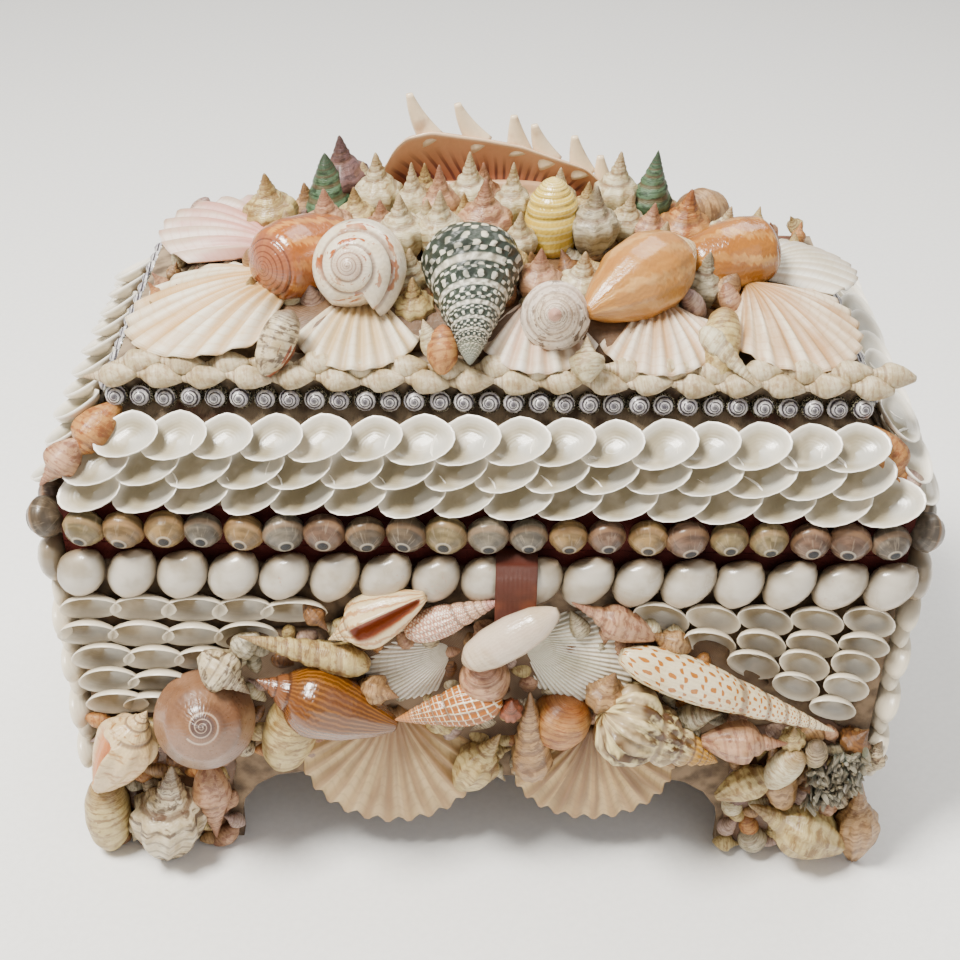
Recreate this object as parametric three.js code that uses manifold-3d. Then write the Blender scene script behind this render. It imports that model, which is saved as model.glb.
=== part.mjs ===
import * as THREE from 'three'
import Module from 'manifold-3d'

const wasm = await Module()
wasm.setup()

// A casket covered in sea shells, in millimetres: X along the front, Y from front to back, Z up.
// Driving sizes of the carcase
const boxWidth = 350
const boxDepth = 180
const baseHeight = 176
const wall = 6
const floorThickness = 6
const floorHeight = 50
const legHeight = 44
const legWidth = 62
const legDepth = 52
const archRadius = 30
const sideArchRadius = 24
const lidRimHeight = 20
const lidSlopeRise = 34
const lidSetback = 24
const lidBandHeight = 16
const roofRise = 8
const roofInset = 50
const roofInsetDepth = 40
const roofWall = 5
// Clearance between pieces that touch
const fitGap = 0.3
// How far the shells of each row stand out from the wall, and how tall the row is
const snailPitch = 16.7
const snailHeight = 17
const snailDepth = 13
const snailLift = 2
const cowriePitch = 20.6
const cowrieHeight = 22
const cowrieDepth = 13
const cowrieDrop = 1
const buttonPitch = 10
const buttonHeight = 9.6
const buttonDepth = 8
const whelkPitch = 18.5
const whelkHeight = 8.6
const whelkDepth = 9
// Between two round shells a row narrows to these shares of its height and depth
const neckHeight = 0.55
const neckDepth = 0.6
// Clam rows: pitch along the row, pitch between rows, and how far the rims and the roots stand out
const lidClamPitch = 21
const lidClamRows = 3
const lidClamRise = 11
const lidClamLip = 9
const lidClamRoot = 2.5
const lidClamDrop = 2
const baseClamPitch = 24
const baseClamRows = 5
const baseClamRise = 13
const baseClamLip = 9
const baseClamRoot = 2.5
const baseClamBulge = 2
const rowClearance = 1
// Between two clams the lip stands out by this share
const clamValley = 0.65
// The hidden sides are plainer, with wider shells in their rows
const sidePitchScale = 2.2
const backPitchScale = 3.2
const plainClamRows = 6
const plainClamRise = 17
// The bed of glue under the shells on the roof
const bedRise = 8
const bedWidth = 212
const bedDepth = 116
// The pull tab at the middle of the front
const tabWidth = 17
const tabLength = 32
const tabThickness = 1.6
const tabShift = 12

const lidBottom = baseHeight + fitGap
const slopeBottom = lidBottom + lidRimHeight
const slopeTop = slopeBottom + lidSlopeRise
const bandTop = slopeTop + lidBandHeight
const roofTop = bandTop + roofRise
const slopeLength = Math.hypot(lidSlopeRise, lidSetback)

const vector = (x, y, z) => new THREE.Vector3(x, y, z)

// Body helpers. A ring is a list of points, and a ring of one point is a pole
function signedArea(points) {
  let area = 0
  points.forEach((p, i) => {
    const q = points[(i + 1) % points.length]
    area += (p.x * q.y - q.x * p.y) / 2
  })
  return area
}

function flatten(ring) {
  const normal = vector(0, 0, 0)
  ring.forEach((p, i) => normal.add(vector(0, 0, 0).crossVectors(p, ring[(i + 1) % ring.length])))
  const size = [Math.abs(normal.x), Math.abs(normal.y), Math.abs(normal.z)]
  const drop = size.indexOf(Math.max(...size))
  const [a, b] = [['y', 'z'], ['x', 'z'], ['x', 'y']][drop]
  return ring.map((p) => new THREE.Vector2(p[a], p[b]))
}

function capFaces(ring, start, forward) {
  const contour = flatten(ring)
  const sense = Math.sign(signedArea(contour))
  return THREE.ShapeUtils.triangulateShape(contour, []).map((face) => {
    const same = Math.sign(signedArea(face.map((i) => contour[i]))) === sense
    const ordered = same === forward ? face : [face[0], face[2], face[1]]
    return ordered.map((i) => start + i)
  })
}

function enclosedVolume(points, faces) {
  let volume = 0
  const cross = vector(0, 0, 0)
  for (const [a, b, c] of faces) {
    volume += points[a].dot(cross.crossVectors(points[b], points[c])) / 6
  }
  return volume
}

// A closed body through a row of rings, with its faces pointing outwards
function ringBody(rings) {
  const points = rings.flat()
  const starts = rings.map((_, k) => rings.slice(0, k).flat().length)
  let faces = []
  for (let k = 0; k + 1 < rings.length; k++) {
    const count = Math.max(rings[k].length, rings[k + 1].length)
    const at = (row, i) => starts[row] + (rings[row].length === 1 ? 0 : i % count)
    for (let i = 0; i < count; i++) {
      if (rings[k].length > 1) faces.push([at(k, i), at(k, i + 1), at(k + 1, i)])
      if (rings[k + 1].length > 1) faces.push([at(k, i + 1), at(k + 1, i + 1), at(k + 1, i)])
    }
  }
  const last = rings.length - 1
  if (rings[0].length > 1) faces.push(...capFaces(rings[0], 0, false))
  if (rings[last].length > 1) faces.push(...capFaces(rings[last], starts[last], true))
  if (enclosedVolume(points, faces) < 0) faces = faces.map(([a, b, c]) => [a, c, b])
  return { points, faces }
}

// The same body with every point moved out along its normal
function grownBody({ points, faces }, distance) {
  const normals = points.map(() => vector(0, 0, 0))
  for (const face of faces) {
    const [a, b, c] = face.map((i) => points[i])
    const normal = vector(0, 0, 0).crossVectors(b.clone().sub(a), c.clone().sub(a)).normalize()
    face.forEach((i, k) => {
      const one = points[face[(k + 1) % 3]].clone().sub(points[i])
      const two = points[face[(k + 2) % 3]].clone().sub(points[i])
      normals[i].addScaledVector(normal, one.angleTo(two))
    })
  }
  const moved = points.map((p, i) => p.clone().addScaledVector(normals[i].normalize(), distance))
  return { points: moved, faces }
}

function solidOf({ points, faces }) {
  const vertProperties = new Float32Array(points.flatMap((p) => [p.x, p.y, p.z]))
  const triVerts = new Uint32Array(faces.flat())
  return new wasm.Manifold(new wasm.Mesh({ numProp: 3, vertProperties, triVerts }))
}

function boxBody(width, depth, low, high, x = 0, y = 0) {
  const ring = (z) => [[-1, -1], [1, -1], [1, 1], [-1, 1]]
    .map(([i, j]) => vector(x + i * width / 2, y + j * depth / 2, z))
  return ringBody([ring(low), ring(high)])
}

// A plain outline drawn in the XZ plane, carried along Y
function boardBody(outline, front, back) {
  const ring = (y) => outline.map(([x, z]) => vector(x, y, z))
  return ringBody([ring(front), ring(back)])
}

function turned(body, angle) {
  const axis = vector(0, 0, 1)
  return { points: body.points.map((p) => p.clone().applyAxisAngle(axis, angle)), faces: body.faces }
}

// Pieces are made in order. Each later one is cut clear of the carcases and of those before it
const group = new THREE.Group()
const carcaseRoom = []
const shellRoom = []

function boxesMeet(a, b) {
  return [0, 1, 2].every((i) => a.min[i] < b.max[i] && b.min[i] < a.max[i])
}

function largestPart(solid) {
  const parts = solid.decompose()
  return parts.reduce((best, part) => (part.volume() > best.volume() ? part : best))
}

function addSolid(name, solid, finish) {
  const mesh = solid.getMesh()
  const geometry = new THREE.BufferGeometry()
  geometry.setAttribute('position', new THREE.Float32BufferAttribute(mesh.vertProperties, 3))
  geometry.setIndex(new THREE.Uint32BufferAttribute(mesh.triVerts, 1))
  const material = new THREE.MeshStandardMaterial({ ...finish })
  const piece = new THREE.Mesh(geometry, material)
  piece.name = name
  group.add(piece)
}

function joined(bodies) {
  return bodies.map(solidOf).reduce((sum, body) => sum.add(body))
}

function addClear(name, bodies, finish, rooms) {
  let solid = joined(bodies)
  for (const room of rooms) {
    if (boxesMeet(solid.boundingBox(), room.boundingBox())) solid = solid.subtract(room)
  }
  addSolid(name, largestPart(solid), finish)
}

function addShells(name, bodies, finish) {
  addClear(name, bodies, finish, [...carcaseRoom, ...shellRoom])
  shellRoom.push(joined(bodies.map((body) => grownBody(body, fitGap))))
}

// Finishes
const redWood = { color: 0x5a2418, roughness: 0.75, metalness: 0 }
const copperSatin = { color: 0x7c3a20, roughness: 0.4, metalness: 0.1 }
const whiteShell = { color: 0xeeeae0, roughness: 0.35, metalness: 0 }
const creamShell = { color: 0xdccbb0, roughness: 0.45, metalness: 0 }
const brownShell = { color: 0x86705a, roughness: 0.3, metalness: 0 }
const silverShell = { color: 0x8f8c8a, roughness: 0.3, metalness: 0.2 }
const pinkShell = { color: 0xd9b0a0, roughness: 0.4, metalness: 0 }
const orangeShell = { color: 0xc98a4c, roughness: 0.3, metalness: 0 }
const yellowShell = { color: 0xe6d27a, roughness: 0.3, metalness: 0 }
const darkShell = { color: 0x3c463c, roughness: 0.4, metalness: 0 }
const spottedShell = { color: 0xe2c49a, roughness: 0.35, metalness: 0 }

// Carcases
function archOutline(width, height, radius) {
  const half = width / 2
  const steps = 4
  const points = [[half, -fitGap]]
  for (let i = 0; i <= steps; i++) {
    const angle = i / steps * Math.PI / 2
    points.push([half - radius * (1 - Math.cos(angle)), height - radius * (1 - Math.sin(angle))])
  }
  return [...points, ...points.map(([x, z]) => [-x, z]).reverse()]
}

function baseCarcase() {
  const innerWidth = boxWidth - 2 * wall
  const innerDepth = boxDepth - 2 * wall
  const floorTop = floorHeight + floorThickness
  const frontArch = archOutline(boxWidth - 2 * legWidth, legHeight, archRadius)
  const sideArch = archOutline(boxDepth - 2 * legDepth, legHeight, sideArchRadius)
  const cuts = [
    boxBody(innerWidth, innerDepth, floorTop, baseHeight + wall),
    boxBody(innerWidth, innerDepth, -wall, floorHeight),
    boardBody(frontArch, -boxDepth, boxDepth),
    turned(boardBody(sideArch, -boxWidth, boxWidth), Math.PI / 2),
  ]
  const block = solidOf(boxBody(boxWidth, boxDepth, 0, baseHeight))
  return cuts.map(solidOf).reduce((body, cut) => body.subtract(cut), block)
}

function rectangle(halfWidth, halfDepth, z) {
  return [[-1, -1], [1, -1], [1, 1], [-1, 1]].map(([i, j]) => vector(i * halfWidth, j * halfDepth, z))
}

function lidLoft(inset, bottom, under) {
  const [w, d] = [boxWidth / 2 - inset, boxDepth / 2 - inset]
  return ringBody([
    rectangle(w, d, bottom),
    rectangle(w, d, slopeBottom - under / 2),
    rectangle(w - lidSetback, d - lidSetback, slopeTop - under / 2),
    rectangle(w - lidSetback, d - lidSetback, bandTop - under),
    rectangle(w - lidSetback - roofInset, d - lidSetback - roofInsetDepth, roofTop - under),
  ])
}

function lidCarcase() {
  const outside = solidOf(lidLoft(0, lidBottom, 0))
  return outside.subtract(solidOf(lidLoft(wall, lidBottom - wall, roofWall)))
}

const base = baseCarcase()
const lid = lidCarcase()
addSolid('base_carcase', base, redWood)
addSolid('lid_carcase', lid, redWood)
carcaseRoom.push(solidOf(boxBody(boxWidth + 2 * fitGap, boxDepth + 2 * fitGap, -fitGap, baseHeight)))
carcaseRoom.push(solidOf(grownBody(lidLoft(0, lidBottom - fitGap, 0), fitGap)))

// The four walls, each turned about Z, with the distance of its face and its length
const walls = [
  { side: 'front', angle: 0, out: boxDepth / 2, length: boxWidth, plain: 1 },
  { side: 'right', angle: Math.PI / 2, out: boxWidth / 2, length: boxDepth, plain: sidePitchScale },
  { side: 'back', angle: Math.PI, out: boxDepth / 2, length: boxWidth, plain: backPitchScale },
  { side: 'left', angle: -Math.PI / 2, out: boxWidth / 2, length: boxDepth, plain: sidePitchScale },
]

// Rows on the front and the back take in the corners, and those on the sides end between them
const ownsCorner = ({ side }) => side === 'front' || side === 'back'

function onWall(body, { angle, out }, inset = 0) {
  const place = vector(0, -(out - inset), 0)
  const points = body.points.map((p) => p.clone().add(place))
  return turned({ points, faces: body.faces }, angle)
}

// A row of round shells, narrow where two of them meet
function beadRow(length, count, height, depth, low) {
  const section = [[0, -1], [0, 1], [1, 0.55], [1, -0.55]]
  const rings = []
  for (let i = 0; i <= 2 * count; i++) {
    const x = -length / 2 + length * i / (2 * count)
    const [tall, out] = i % 2 ? [1, 1] : [neckHeight, neckDepth]
    const at = ([n, z]) => vector(x, -fitGap - n * depth * out, low + height / 2 * (1 + z * tall))
    rings.push(section.map(at))
  }
  return ringBody(rings)
}

function addRow(kind, finish, { pitch, height, depth, low, inset = 0 }) {
  for (const side of walls) {
    const corner = ownsCorner(side) ? 2 * depth : -2 * fitGap
    const length = side.length - 2 * inset + corner
    const count = Math.round(length / (pitch * side.plain))
    const row = beadRow(length, count, height, depth, low)
    addClear(`${kind}_${side.side}`, [onWall(row, side, inset)], finish, shellRoom)
  }
}

// Rows of clam shells as stepped slabs. Seen along the row, each shell runs from its root to its lip
function clamField({ left, right, pitch, rows, rise, lip, root, wave, lipFirst, topRow = rise }) {
  const width = (z) => right(z) - left(z)
  const count = Math.max(1, Math.round(width(0) / pitch))
  const rings = []
  for (let i = 0; i <= 2 * count; i++) {
    const middle = i % 2
    const at = (z, out) => vector(left(z) + width(z) * i / (2 * count), -fitGap - out, z)
    const ring = []
    for (let row = 0; row < rows; row++) {
      const low = row * rise
      const high = row + 1 < rows ? low + rise : low + topRow
      const stand = lip * (middle ? 1 : clamValley)
      if (lipFirst) ring.push(at(low - wave * middle, stand), at(high - wave * middle, root))
      else ring.push(at(low + wave * middle + 0.5, root), at(high + wave * middle, stand))
    }
    const top = ring[ring.length - 1].z
    rings.push([at(ring[0].z, 0), ...ring, at(top, 0)])
  }
  return ringBody(rings)
}

function leant(body, angle, shift) {
  const axis = vector(1, 0, 0)
  const points = body.points.map((p) => p.clone().applyAxisAngle(axis, angle).add(shift))
  return { points, faces: body.faces }
}

function addLidClams() {
  const lean = -Math.atan2(lidSetback, lidSlopeRise)
  const share = lidSetback / slopeLength
  for (const side of walls) {
    const half = side.length / 2
    const field = clamField({
      left: (z) => -half + Math.max(0, z) * share,
      right: (z) => half - Math.max(0, z) * share,
      pitch: lidClamPitch * side.plain,
      rows: lidClamRows,
      rise: lidClamRise,
      lip: lidClamLip,
      root: lidClamRoot,
      wave: lidClamDrop,
      lipFirst: true,
      topRow: slopeLength - (lidClamRows - 1) * lidClamRise - lidClamRoot - 1.5,
    })
    const placed = onWall(leant(field, lean, vector(0, 0, slopeBottom + 1)), side)
    addClear(`lid_clams_${side.side}`, [placed], whiteShell, shellRoom)
  }
}

// On the front the rows of clams grow shorter downwards, to leave room for the large shells
const clamTop = baseHeight - cowrieDrop - cowrieHeight - baseClamBulge - rowClearance
const frontClamHeight = baseClamRise * baseClamRows
const frontFieldTop = 66
const frontFieldSlope = 1.25
const frontFieldNarrowing = 0.42

function addBaseClams() {
  const common = {
    lip: baseClamLip,
    root: baseClamRoot,
    wave: baseClamBulge,
    lipFirst: false,
  }
  const end = boxWidth / 2 + baseClamRoot
  const inner = (z) => frontFieldTop + (frontClamHeight - Math.max(0, z)) * frontFieldSlope
  const fields = { left: [(z) => -end, (z) => -inner(z)], right: [inner, (z) => end] }
  for (const [hand, [left, right]] of Object.entries(fields)) {
    const count = { rows: baseClamRows, rise: baseClamRise, pitch: baseClamPitch * frontFieldNarrowing }
    const lift = vector(0, 0, clamTop - frontClamHeight)
    const field = leant(clamField({ ...common, ...count, left, right }), 0, lift)
    addClear(`base_clams_front_${hand}`, [onWall(field, walls[0])], whiteShell, shellRoom)
  }
  for (const side of walls.slice(1)) {
    const half = side.length / 2 - (ownsCorner(side) ? -baseClamRoot : fitGap)
    const count = { rows: plainClamRows, rise: plainClamRise, pitch: baseClamPitch * side.plain }
    const field = clamField({ ...common, ...count, left: () => -half, right: () => half })
    const lift = vector(0, 0, clamTop - plainClamRows * plainClamRise)
    addClear(`base_clams_${side.side}`, [onWall(leant(field, 0, lift), side)], whiteShell, shellRoom)
  }
}

// The pull tab hangs from under the lid over the row of egg cowries
const tabOut = boxDepth / 2 + cowrieDepth + 2 * fitGap
const tabTop = lidBottom + 1
const tabBody = ringBody([0, 1].map((side) => {
  const x = tabShift + (side - 0.5) * tabWidth
  const [front, back] = [-tabOut - tabThickness, -tabOut]
  const reach = -boxDepth / 2 - fitGap
  return [
    vector(x, reach, tabTop - 2), vector(x, reach, tabTop), vector(x, front + 2, tabTop),
    vector(x, front, tabTop - 3), vector(x, front, tabTop - tabLength), vector(x, back, tabTop - tabLength),
    vector(x, back, tabTop - 3.5),
  ]
}))

// Sea snails as turned bodies, as shares of the length from apex to base and of half the width
const profiles = {
  conch: [[0.08, 0.16], [0.2, 0.5], [0.28, 0.96], [0.42, 1], [0.66, 0.72], [0.88, 0.36]],
  volute: [[0.05, 0.22], [0.14, 0.5], [0.24, 0.8], [0.4, 1], [0.62, 0.94], [0.86, 0.52]],
  olive: [[0.02, 0.3], [0.1, 0.72], [0.3, 0.97], [0.55, 1], [0.8, 0.8], [0.95, 0.42]],
  turban: [[0.1, 0.2], [0.3, 0.46], [0.55, 0.76], [0.78, 1], [0.92, 0.86]],
  mitre: [[0.15, 0.36], [0.38, 0.76], [0.6, 1], [0.8, 0.86], [0.95, 0.46]],
  auger: [[0.25, 0.4], [0.5, 0.7], [0.8, 1], [0.94, 0.7]],
  bulla: [[0.06, 0.4], [0.25, 0.85], [0.5, 1], [0.78, 0.86], [0.95, 0.45]],
  moon: [[0.05, 0.34], [0.2, 0.72], [0.45, 1], [0.72, 0.9], [0.93, 0.48]],
  spire: [[0.3, 0.46], [0.62, 1], [0.88, 0.7]],
  small: [[0.36, 0.52], [0.56, 1]],
}

// A body along the line from apex to base, with knobs on its widest ring
function snailBody({ kind, from, to, wide, sides = 8, knobs = 0, flat = 1 }) {
  const [start, end] = [vector(...from), vector(...to)]
  const axis = end.clone().sub(start)
  const length = axis.length()
  axis.normalize()
  const guide = Math.abs(axis.z) > 0.8 ? vector(0, -1, 0) : vector(0, 0, 1)
  const across = vector(0, 0, 0).crossVectors(axis, guide).normalize()
  const up = vector(0, 0, 0).crossVectors(across, axis)
  const rings = profiles[kind].map(([t, r]) => {
    const ring = []
    for (let i = 0; i < sides; i++) {
      const angle = 2 * Math.PI * i / sides
      const bump = r === 1 && i % 2 ? 1 + knobs : 1
      const point = start.clone().addScaledVector(axis, t * length)
      point.addScaledVector(across, wide / 2 * r * bump * Math.cos(angle))
      ring.push(point.addScaledVector(up, wide / 2 * r * bump * flat * Math.sin(angle)))
    }
    return ring
  })
  return ringBody([[start], ...rings, [end]])
}

// A ribbed fan from its hinge to the middle of its rim, domed to one side
function fanBody({ hinge, rim, wide, ribs = 7, dome = 9, facing = [0, 0, 1], spread = 62 }) {
  const [start, end] = [vector(...hinge), vector(...rim)]
  const along = end.clone().sub(start)
  const length = along.length()
  along.normalize()
  const across = vector(0, 0, 0).crossVectors(vector(...facing), along).normalize()
  const up = vector(0, 0, 0).crossVectors(along, across)
  const reach = THREE.MathUtils.degToRad(spread)
  const count = 2 * ribs
  const radius = (a) => length * Math.cos(a) ** 0.6
  const widest = radius(reach * 0.82) * Math.sin(reach * 0.82)
  const crown = [0.2 * length, 0, dome * 0.8]
  const place = ([u, v, h]) => start.clone().addScaledVector(along, u)
    .addScaledVector(across, v).addScaledVector(up, h)
  const outline = []
  for (let i = 0; i <= count; i++) {
    const a = reach * (2 * i / count - 1)
    const r = radius(a) * (i % 2 ? 1 : 0.965)
    outline.push([r * Math.cos(a), r * Math.sin(a) * wide / 2 / widest, i % 2 ? 1.2 : 0])
  }
  outline.push([0, 0, 0])
  const between = outline.map(([u, v, h]) => [
    crown[0] + (u - crown[0]) * 0.6, v * 0.6, dome + (h ? 0.8 : -0.4),
  ])
  between[between.length - 1] = [0.04 * length, 0, dome * 0.45]
  const under = [0.5 * length, 0, -1.4]
  return ringBody([[place(crown)], between.map(place), outline.map(place), [place(under)]])
}

// The shells were laid out on a box of this width and depth, and their places follow the box
const laidWidth = 350
const laidDepth = 180
// Places on the roof: from its middle, and up from its top
const onRoof = ([x, y, z]) => [x * boxWidth / laidWidth, y * boxDepth / laidDepth, z + roofTop]
// Places on the front: from its middle, out from the wall, and up from the top edge of the base
const onFront = ([x, out, z]) => [x * boxWidth / laidWidth, -boxDepth / 2 - out, z + baseHeight]
// Places at a foot: in from the end of the box, out from the wall, and up from the floor
const onFoot = (sideX, sideY) => ([inward, out, z]) => [
  sideX * (boxWidth / 2 - inward), sideY * (boxDepth / 2 + out), z,
]

function laid(shape, place) {
  const ends = ['from', 'to', 'hinge', 'rim'].filter((end) => end in shape)
  return Object.assign({ ...shape }, ...ends.map((end) => ({ [end]: place(shape[end]) })))
}

function laidOutline(outline, place) {
  return outline.map(([x, z]) => place([x, 0, z])).map(([x, , z]) => [x, z])
}

// The spider conch: a flared lip that stands up behind the others, its hooks and its whorl behind
const conchFront = onRoof([0, 48, 0])[1]
const conchThickness = 6
const conchHooks = [
  [[-27, 47], [-37, 65]], [[-5, 45], [-16, 61]], [[12, 42], [9, 56]],
  [[26, 37], [18, 52]], [[41, 32], [36, 47]], [[52, 22], [48, 38]],
]
const conchLip = [
  [-44, 1], [-49, 30], [-38, 46], [-27, 49], [-4, 46],
  [13, 43], [27, 38], [42, 33], [53, 23], [58, 3],
]

function hookBody(hook) {
  const [[x, z], [tipX, tipZ]] = laidOutline(hook, onRoof)
  const middle = conchFront + conchThickness / 2
  const ring = (cx, cz, r) => [[1, 0], [-0.5, 0.8], [-0.5, -0.8]]
    .map(([i, j]) => vector(cx + i * r, middle + j * r * 0.6, cz))
  const bendX = x * 0.35 + tipX * 0.65
  const bendZ = z * 0.55 + tipZ * 0.45
  return ringBody([ring(x, z - 3, 5), ring(bendX, bendZ, 2.8), [vector(tipX, middle, tipZ)]])
}

const conchWhorl = { kind: 'conch', from: [72, 60, 10], to: [-68, 60, 13], wide: 30, knobs: 0.1, sides: 5 }
const conchPlate = boardBody(laidOutline(conchLip, onRoof), conchFront, conchFront + conchThickness)
const conchBodies = [conchPlate, snailBody(laid(conchWhorl, onRoof)), ...conchHooks.map(hookBody)]

// Large shells on the roof, from the front backwards
const roofShells = [
  ['dark_turban', darkShell, { kind: 'turban', from: [-8, -78, 3], to: [-8, -20, 29], wide: 41 }],
  ['spotted_whelk', spottedShell, { kind: 'moon', from: [-57, -56, 33], to: [-50, -18, 14], wide: 34 }],
  ['speckled_top', spottedShell, { kind: 'turban', from: [24, -80, 27], to: [26, -50, 10], wide: 28 }],
  ['melon_volute', orangeShell, { kind: 'volute', from: [85, -13, 25], to: [38, -56, 15], wide: 34 }],
  ['orange_olive_left', orangeShell, { kind: 'olive', from: [-93, -38, 23], to: [-59, 4, 15], wide: 33 }],
  ['orange_olive_right', orangeShell, { kind: 'olive', from: [122, 4, 17], to: [76, -18, 15], wide: 30 }],
  ['yellow_bulla', yellowShell, { kind: 'bulla', from: [26, 10, 44], to: [26, 10, 4], wide: 24 }],
]

// Scallops that lie round the edge of the roof
const roofScallops = [
  ['scallop_left_front', { hinge: [-84, -24, 8], rim: [-148, -46, -5], wide: 72, dome: 10 }],
  ['scallop_left_back', { hinge: [-92, 4, 9], rim: [-134, 54, 7], wide: 66, dome: 10 }],
  ['scallop_front_left', { hinge: [-53, -28, 6], rim: [-55, -73, -4], wide: 52, dome: 8 }],
  ['scallop_front_middle', { hinge: [20, -28, 6], rim: [19, -73, -4], wide: 50, dome: 8 }],
  ['scallop_front_right', { hinge: [68, -28, 6], rim: [68, -73, -4], wide: 48, dome: 8 }],
  ['scallop_right_front', { hinge: [106, -18, 8], rim: [142, -62, -5], wide: 58, dome: 9 }],
  ['scallop_right_back', { hinge: [114, -8, 8], rim: [150, 32, -1], wide: 58, dome: 10 }],
]

const backScallopCount = 5
const backScallopPitch = 48
function backScallops() {
  const fans = []
  for (let i = 0; i < backScallopCount; i++) {
    const x = (i - (backScallopCount - 1) / 2) * backScallopPitch
    const shape = { hinge: [x * 0.92, 40, 5], rim: [x, 76, -5], wide: 62, ribs: 3, dome: 8 }
    fans.push(fanBody(laid(shape, onRoof)))
  }
  return fans
}

// Small shells that stand on the bed with their spires up, as tip and width
const standing = [
  [[-99, 24, 37], 23], [[-71, 0, 41], 23], [[-51, 30, 45], 21], [[-35, 20, 45], 14], [[-39, -6, 42], 19],
  [[-23, 18, 45], 16], [[-22, -6, 44], 18], [[-10, 28, 47], 17], [[-3, 2, 46], 22], [[9, 22, 45], 15],
  [[44, 4, 43], 21], [[56, 34, 46], 18], [[72, 34, 47], 17], [[86, 18, 36], 23], [[96, -2, 31], 17],
  [[20, -34, 32], 16], [[38, -32, 30], 18], [[90, -24, 27], 17], [[102, 8, 33], 13], [[-74, 38, 41], 26],
  [[-68, 46, 44], 21],
]
const standingLean = 5
const smallRoofShells = standing.map(([tip, wide]) => ({
  kind: wide > 22 ? 'spire' : 'small',
  from: tip,
  to: [tip[0] * 0.98, tip[1] + standingLean, 1],
  wide,
  sides: 4,
}))
const roundRoofShell = { kind: 'small', from: [82, 26, 22], to: [106, 46, 12], wide: 22, sides: 6 }

// Small shells that lie over the edge of the roof, down to the row of whelks
const edgeShells = [
  { kind: 'small', from: [-79, -60, 16], to: [-89, -70, -11], wide: 15, sides: 4 },
  { kind: 'small', from: [106, -76, -6], to: [84, -58, 10], wide: 10, sides: 4 },
  { kind: 'small', from: [95, -44, 12], to: [91, -70, -6], wide: 14, sides: 4 },
]

function roofBed() {
  const ring = (width, depth, z) => {
    const points = []
    const corners = 12
    for (let i = 0; i < corners; i++) {
      const angle = 2 * Math.PI * (i + 0.5) / corners
      const [c, s] = [Math.cos(angle), Math.sin(angle)]
      const round = (c ** 4 + s ** 4) ** 0.25
      points.push(vector(c / round * width / 2, s / round * depth / 2, z))
    }
    return points
  }
  return ringBody([
    ring(bedWidth, bedDepth, bandTop), ring(bedWidth, bedDepth, roofTop + 1),
    ring(bedWidth - 30, bedDepth - 24, roofTop + bedRise),
  ])
}

// Large shells over the middle of the front, nearest first
const frontShells = [
  ['moon_snail', pinkShell, { kind: 'moon', from: [-119, 34, -72], to: [-124, -2, -96], wide: 44 }],
  ['dog_conch', orangeShell, { kind: 'conch', from: [-97, 19, -58], to: [-38, 19, -84], wide: 32, knobs: 0.08 }],
  ['orange_mouthed_whelk', creamShell, { kind: 'conch', from: [-146, 17, -79], to: [-174, 16, -129], wide: 27 }],
  ['smooth_olive', whiteShell, { kind: 'olive', from: [-9, 21, -45], to: [30, 18, -18], wide: 18 }],
  ['open_conch', spottedShell, { kind: 'conch', from: [-66, 13, -40], to: [-25, 13, -15], wide: 22 }],
  ['pink_mitre', pinkShell, { kind: 'mitre', from: [7, 13, -17], to: [-33, 12, -36], wide: 14, sides: 7 }],
  ['banded_mitre', orangeShell, { kind: 'mitre', from: [-38, 21, -78], to: [8, 18, -66], wide: 18, sides: 7 }],
  ['striped_turban', spottedShell, { kind: 'turban', from: [104, 21, -100], to: [52, 19, -73], wide: 34 }],
  ['spotted_mitre', spottedShell, { kind: 'mitre', from: [154, 17, -84], to: [58, 16, -43], wide: 19 }],
]

const arkShells = [
  ['ark_left', { hinge: [-12, 1, -48], rim: [-50, 8, -68], wide: 36, dome: 7, facing: [0, -1, 0.2], ribs: 6 }],
  ['ark_right', { hinge: [14, 1, -44], rim: [64, 8, -64], wide: 42, dome: 7, facing: [0, -1, 0.2], ribs: 6 }],
]

const apronScallops = [
  ['apron_scallop_left', { hinge: [-39, 4, -80], rim: [-43, 8, -153], wide: 80, dome: 9, facing: [0, -1, 0] }],
  ['apron_scallop_right', { hinge: [49, 4, -90], rim: [53, 8, -149], wide: 72, dome: 8, facing: [0, -1, 0] }],
]

// Small shells between the large ones, joined by the glue that they lie in
const smallFrontShells = [
  { kind: 'auger', from: [-104, 14, -38], to: [-49, 12, -55], wide: 15, sides: 4 },
  { kind: 'small', from: [36, 11, -19], to: [72, 9, -39], wide: 14, sides: 4 },
  { kind: 'small', from: [0, 12, -48], to: [1, 10, -72], wide: 22, sides: 4 },
  { kind: 'small', from: [12, 25, -62], to: [12, 6, -96], wide: 12, sides: 4 },
  { kind: 'small', from: [134, 15, -90], to: [96, 13, -89], wide: 18, sides: 4 },
  { kind: 'small', from: [8, 14, -90], to: [-10, 12, -128], wide: 18, sides: 4 },
  { kind: 'small', from: [20, 16, -64], to: [23, 12, -120], wide: 19, sides: 4 },
  { kind: 'small', from: [-100, 17, -66], to: [-121, 10, -50], wide: 18, sides: 4 },
  { kind: 'small', from: [103, 12, -73], to: [84, 10, -83], wide: 12, sides: 4 },
  { kind: 'small', from: [56, 14, -53], to: [51, 10, -80], wide: 18, sides: 4 },
  { kind: 'small', from: [-36, 15, -62], to: [-54, 6, -67], wide: 13, sides: 4 },
  { kind: 'small', from: [38, 8, -74], to: [31, 8, -100], wide: 24, sides: 4 },
  { kind: 'small', from: [-80, 8, -78], to: [-92, 6, -120], wide: 22, sides: 4 },
]
const frontBedRise = 7
const frontBedOutline = [
  [-112, -114], [-30, -116], [60, -116], [120, -100], [118, -84], [78, -26], [26, -32], [-70, -32], [-124, -54],
]
const frontBed = boardBody(laidOutline(frontBedOutline, onFront), -boxDepth / 2 - frontBedRise, -boxDepth / 2)

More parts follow.
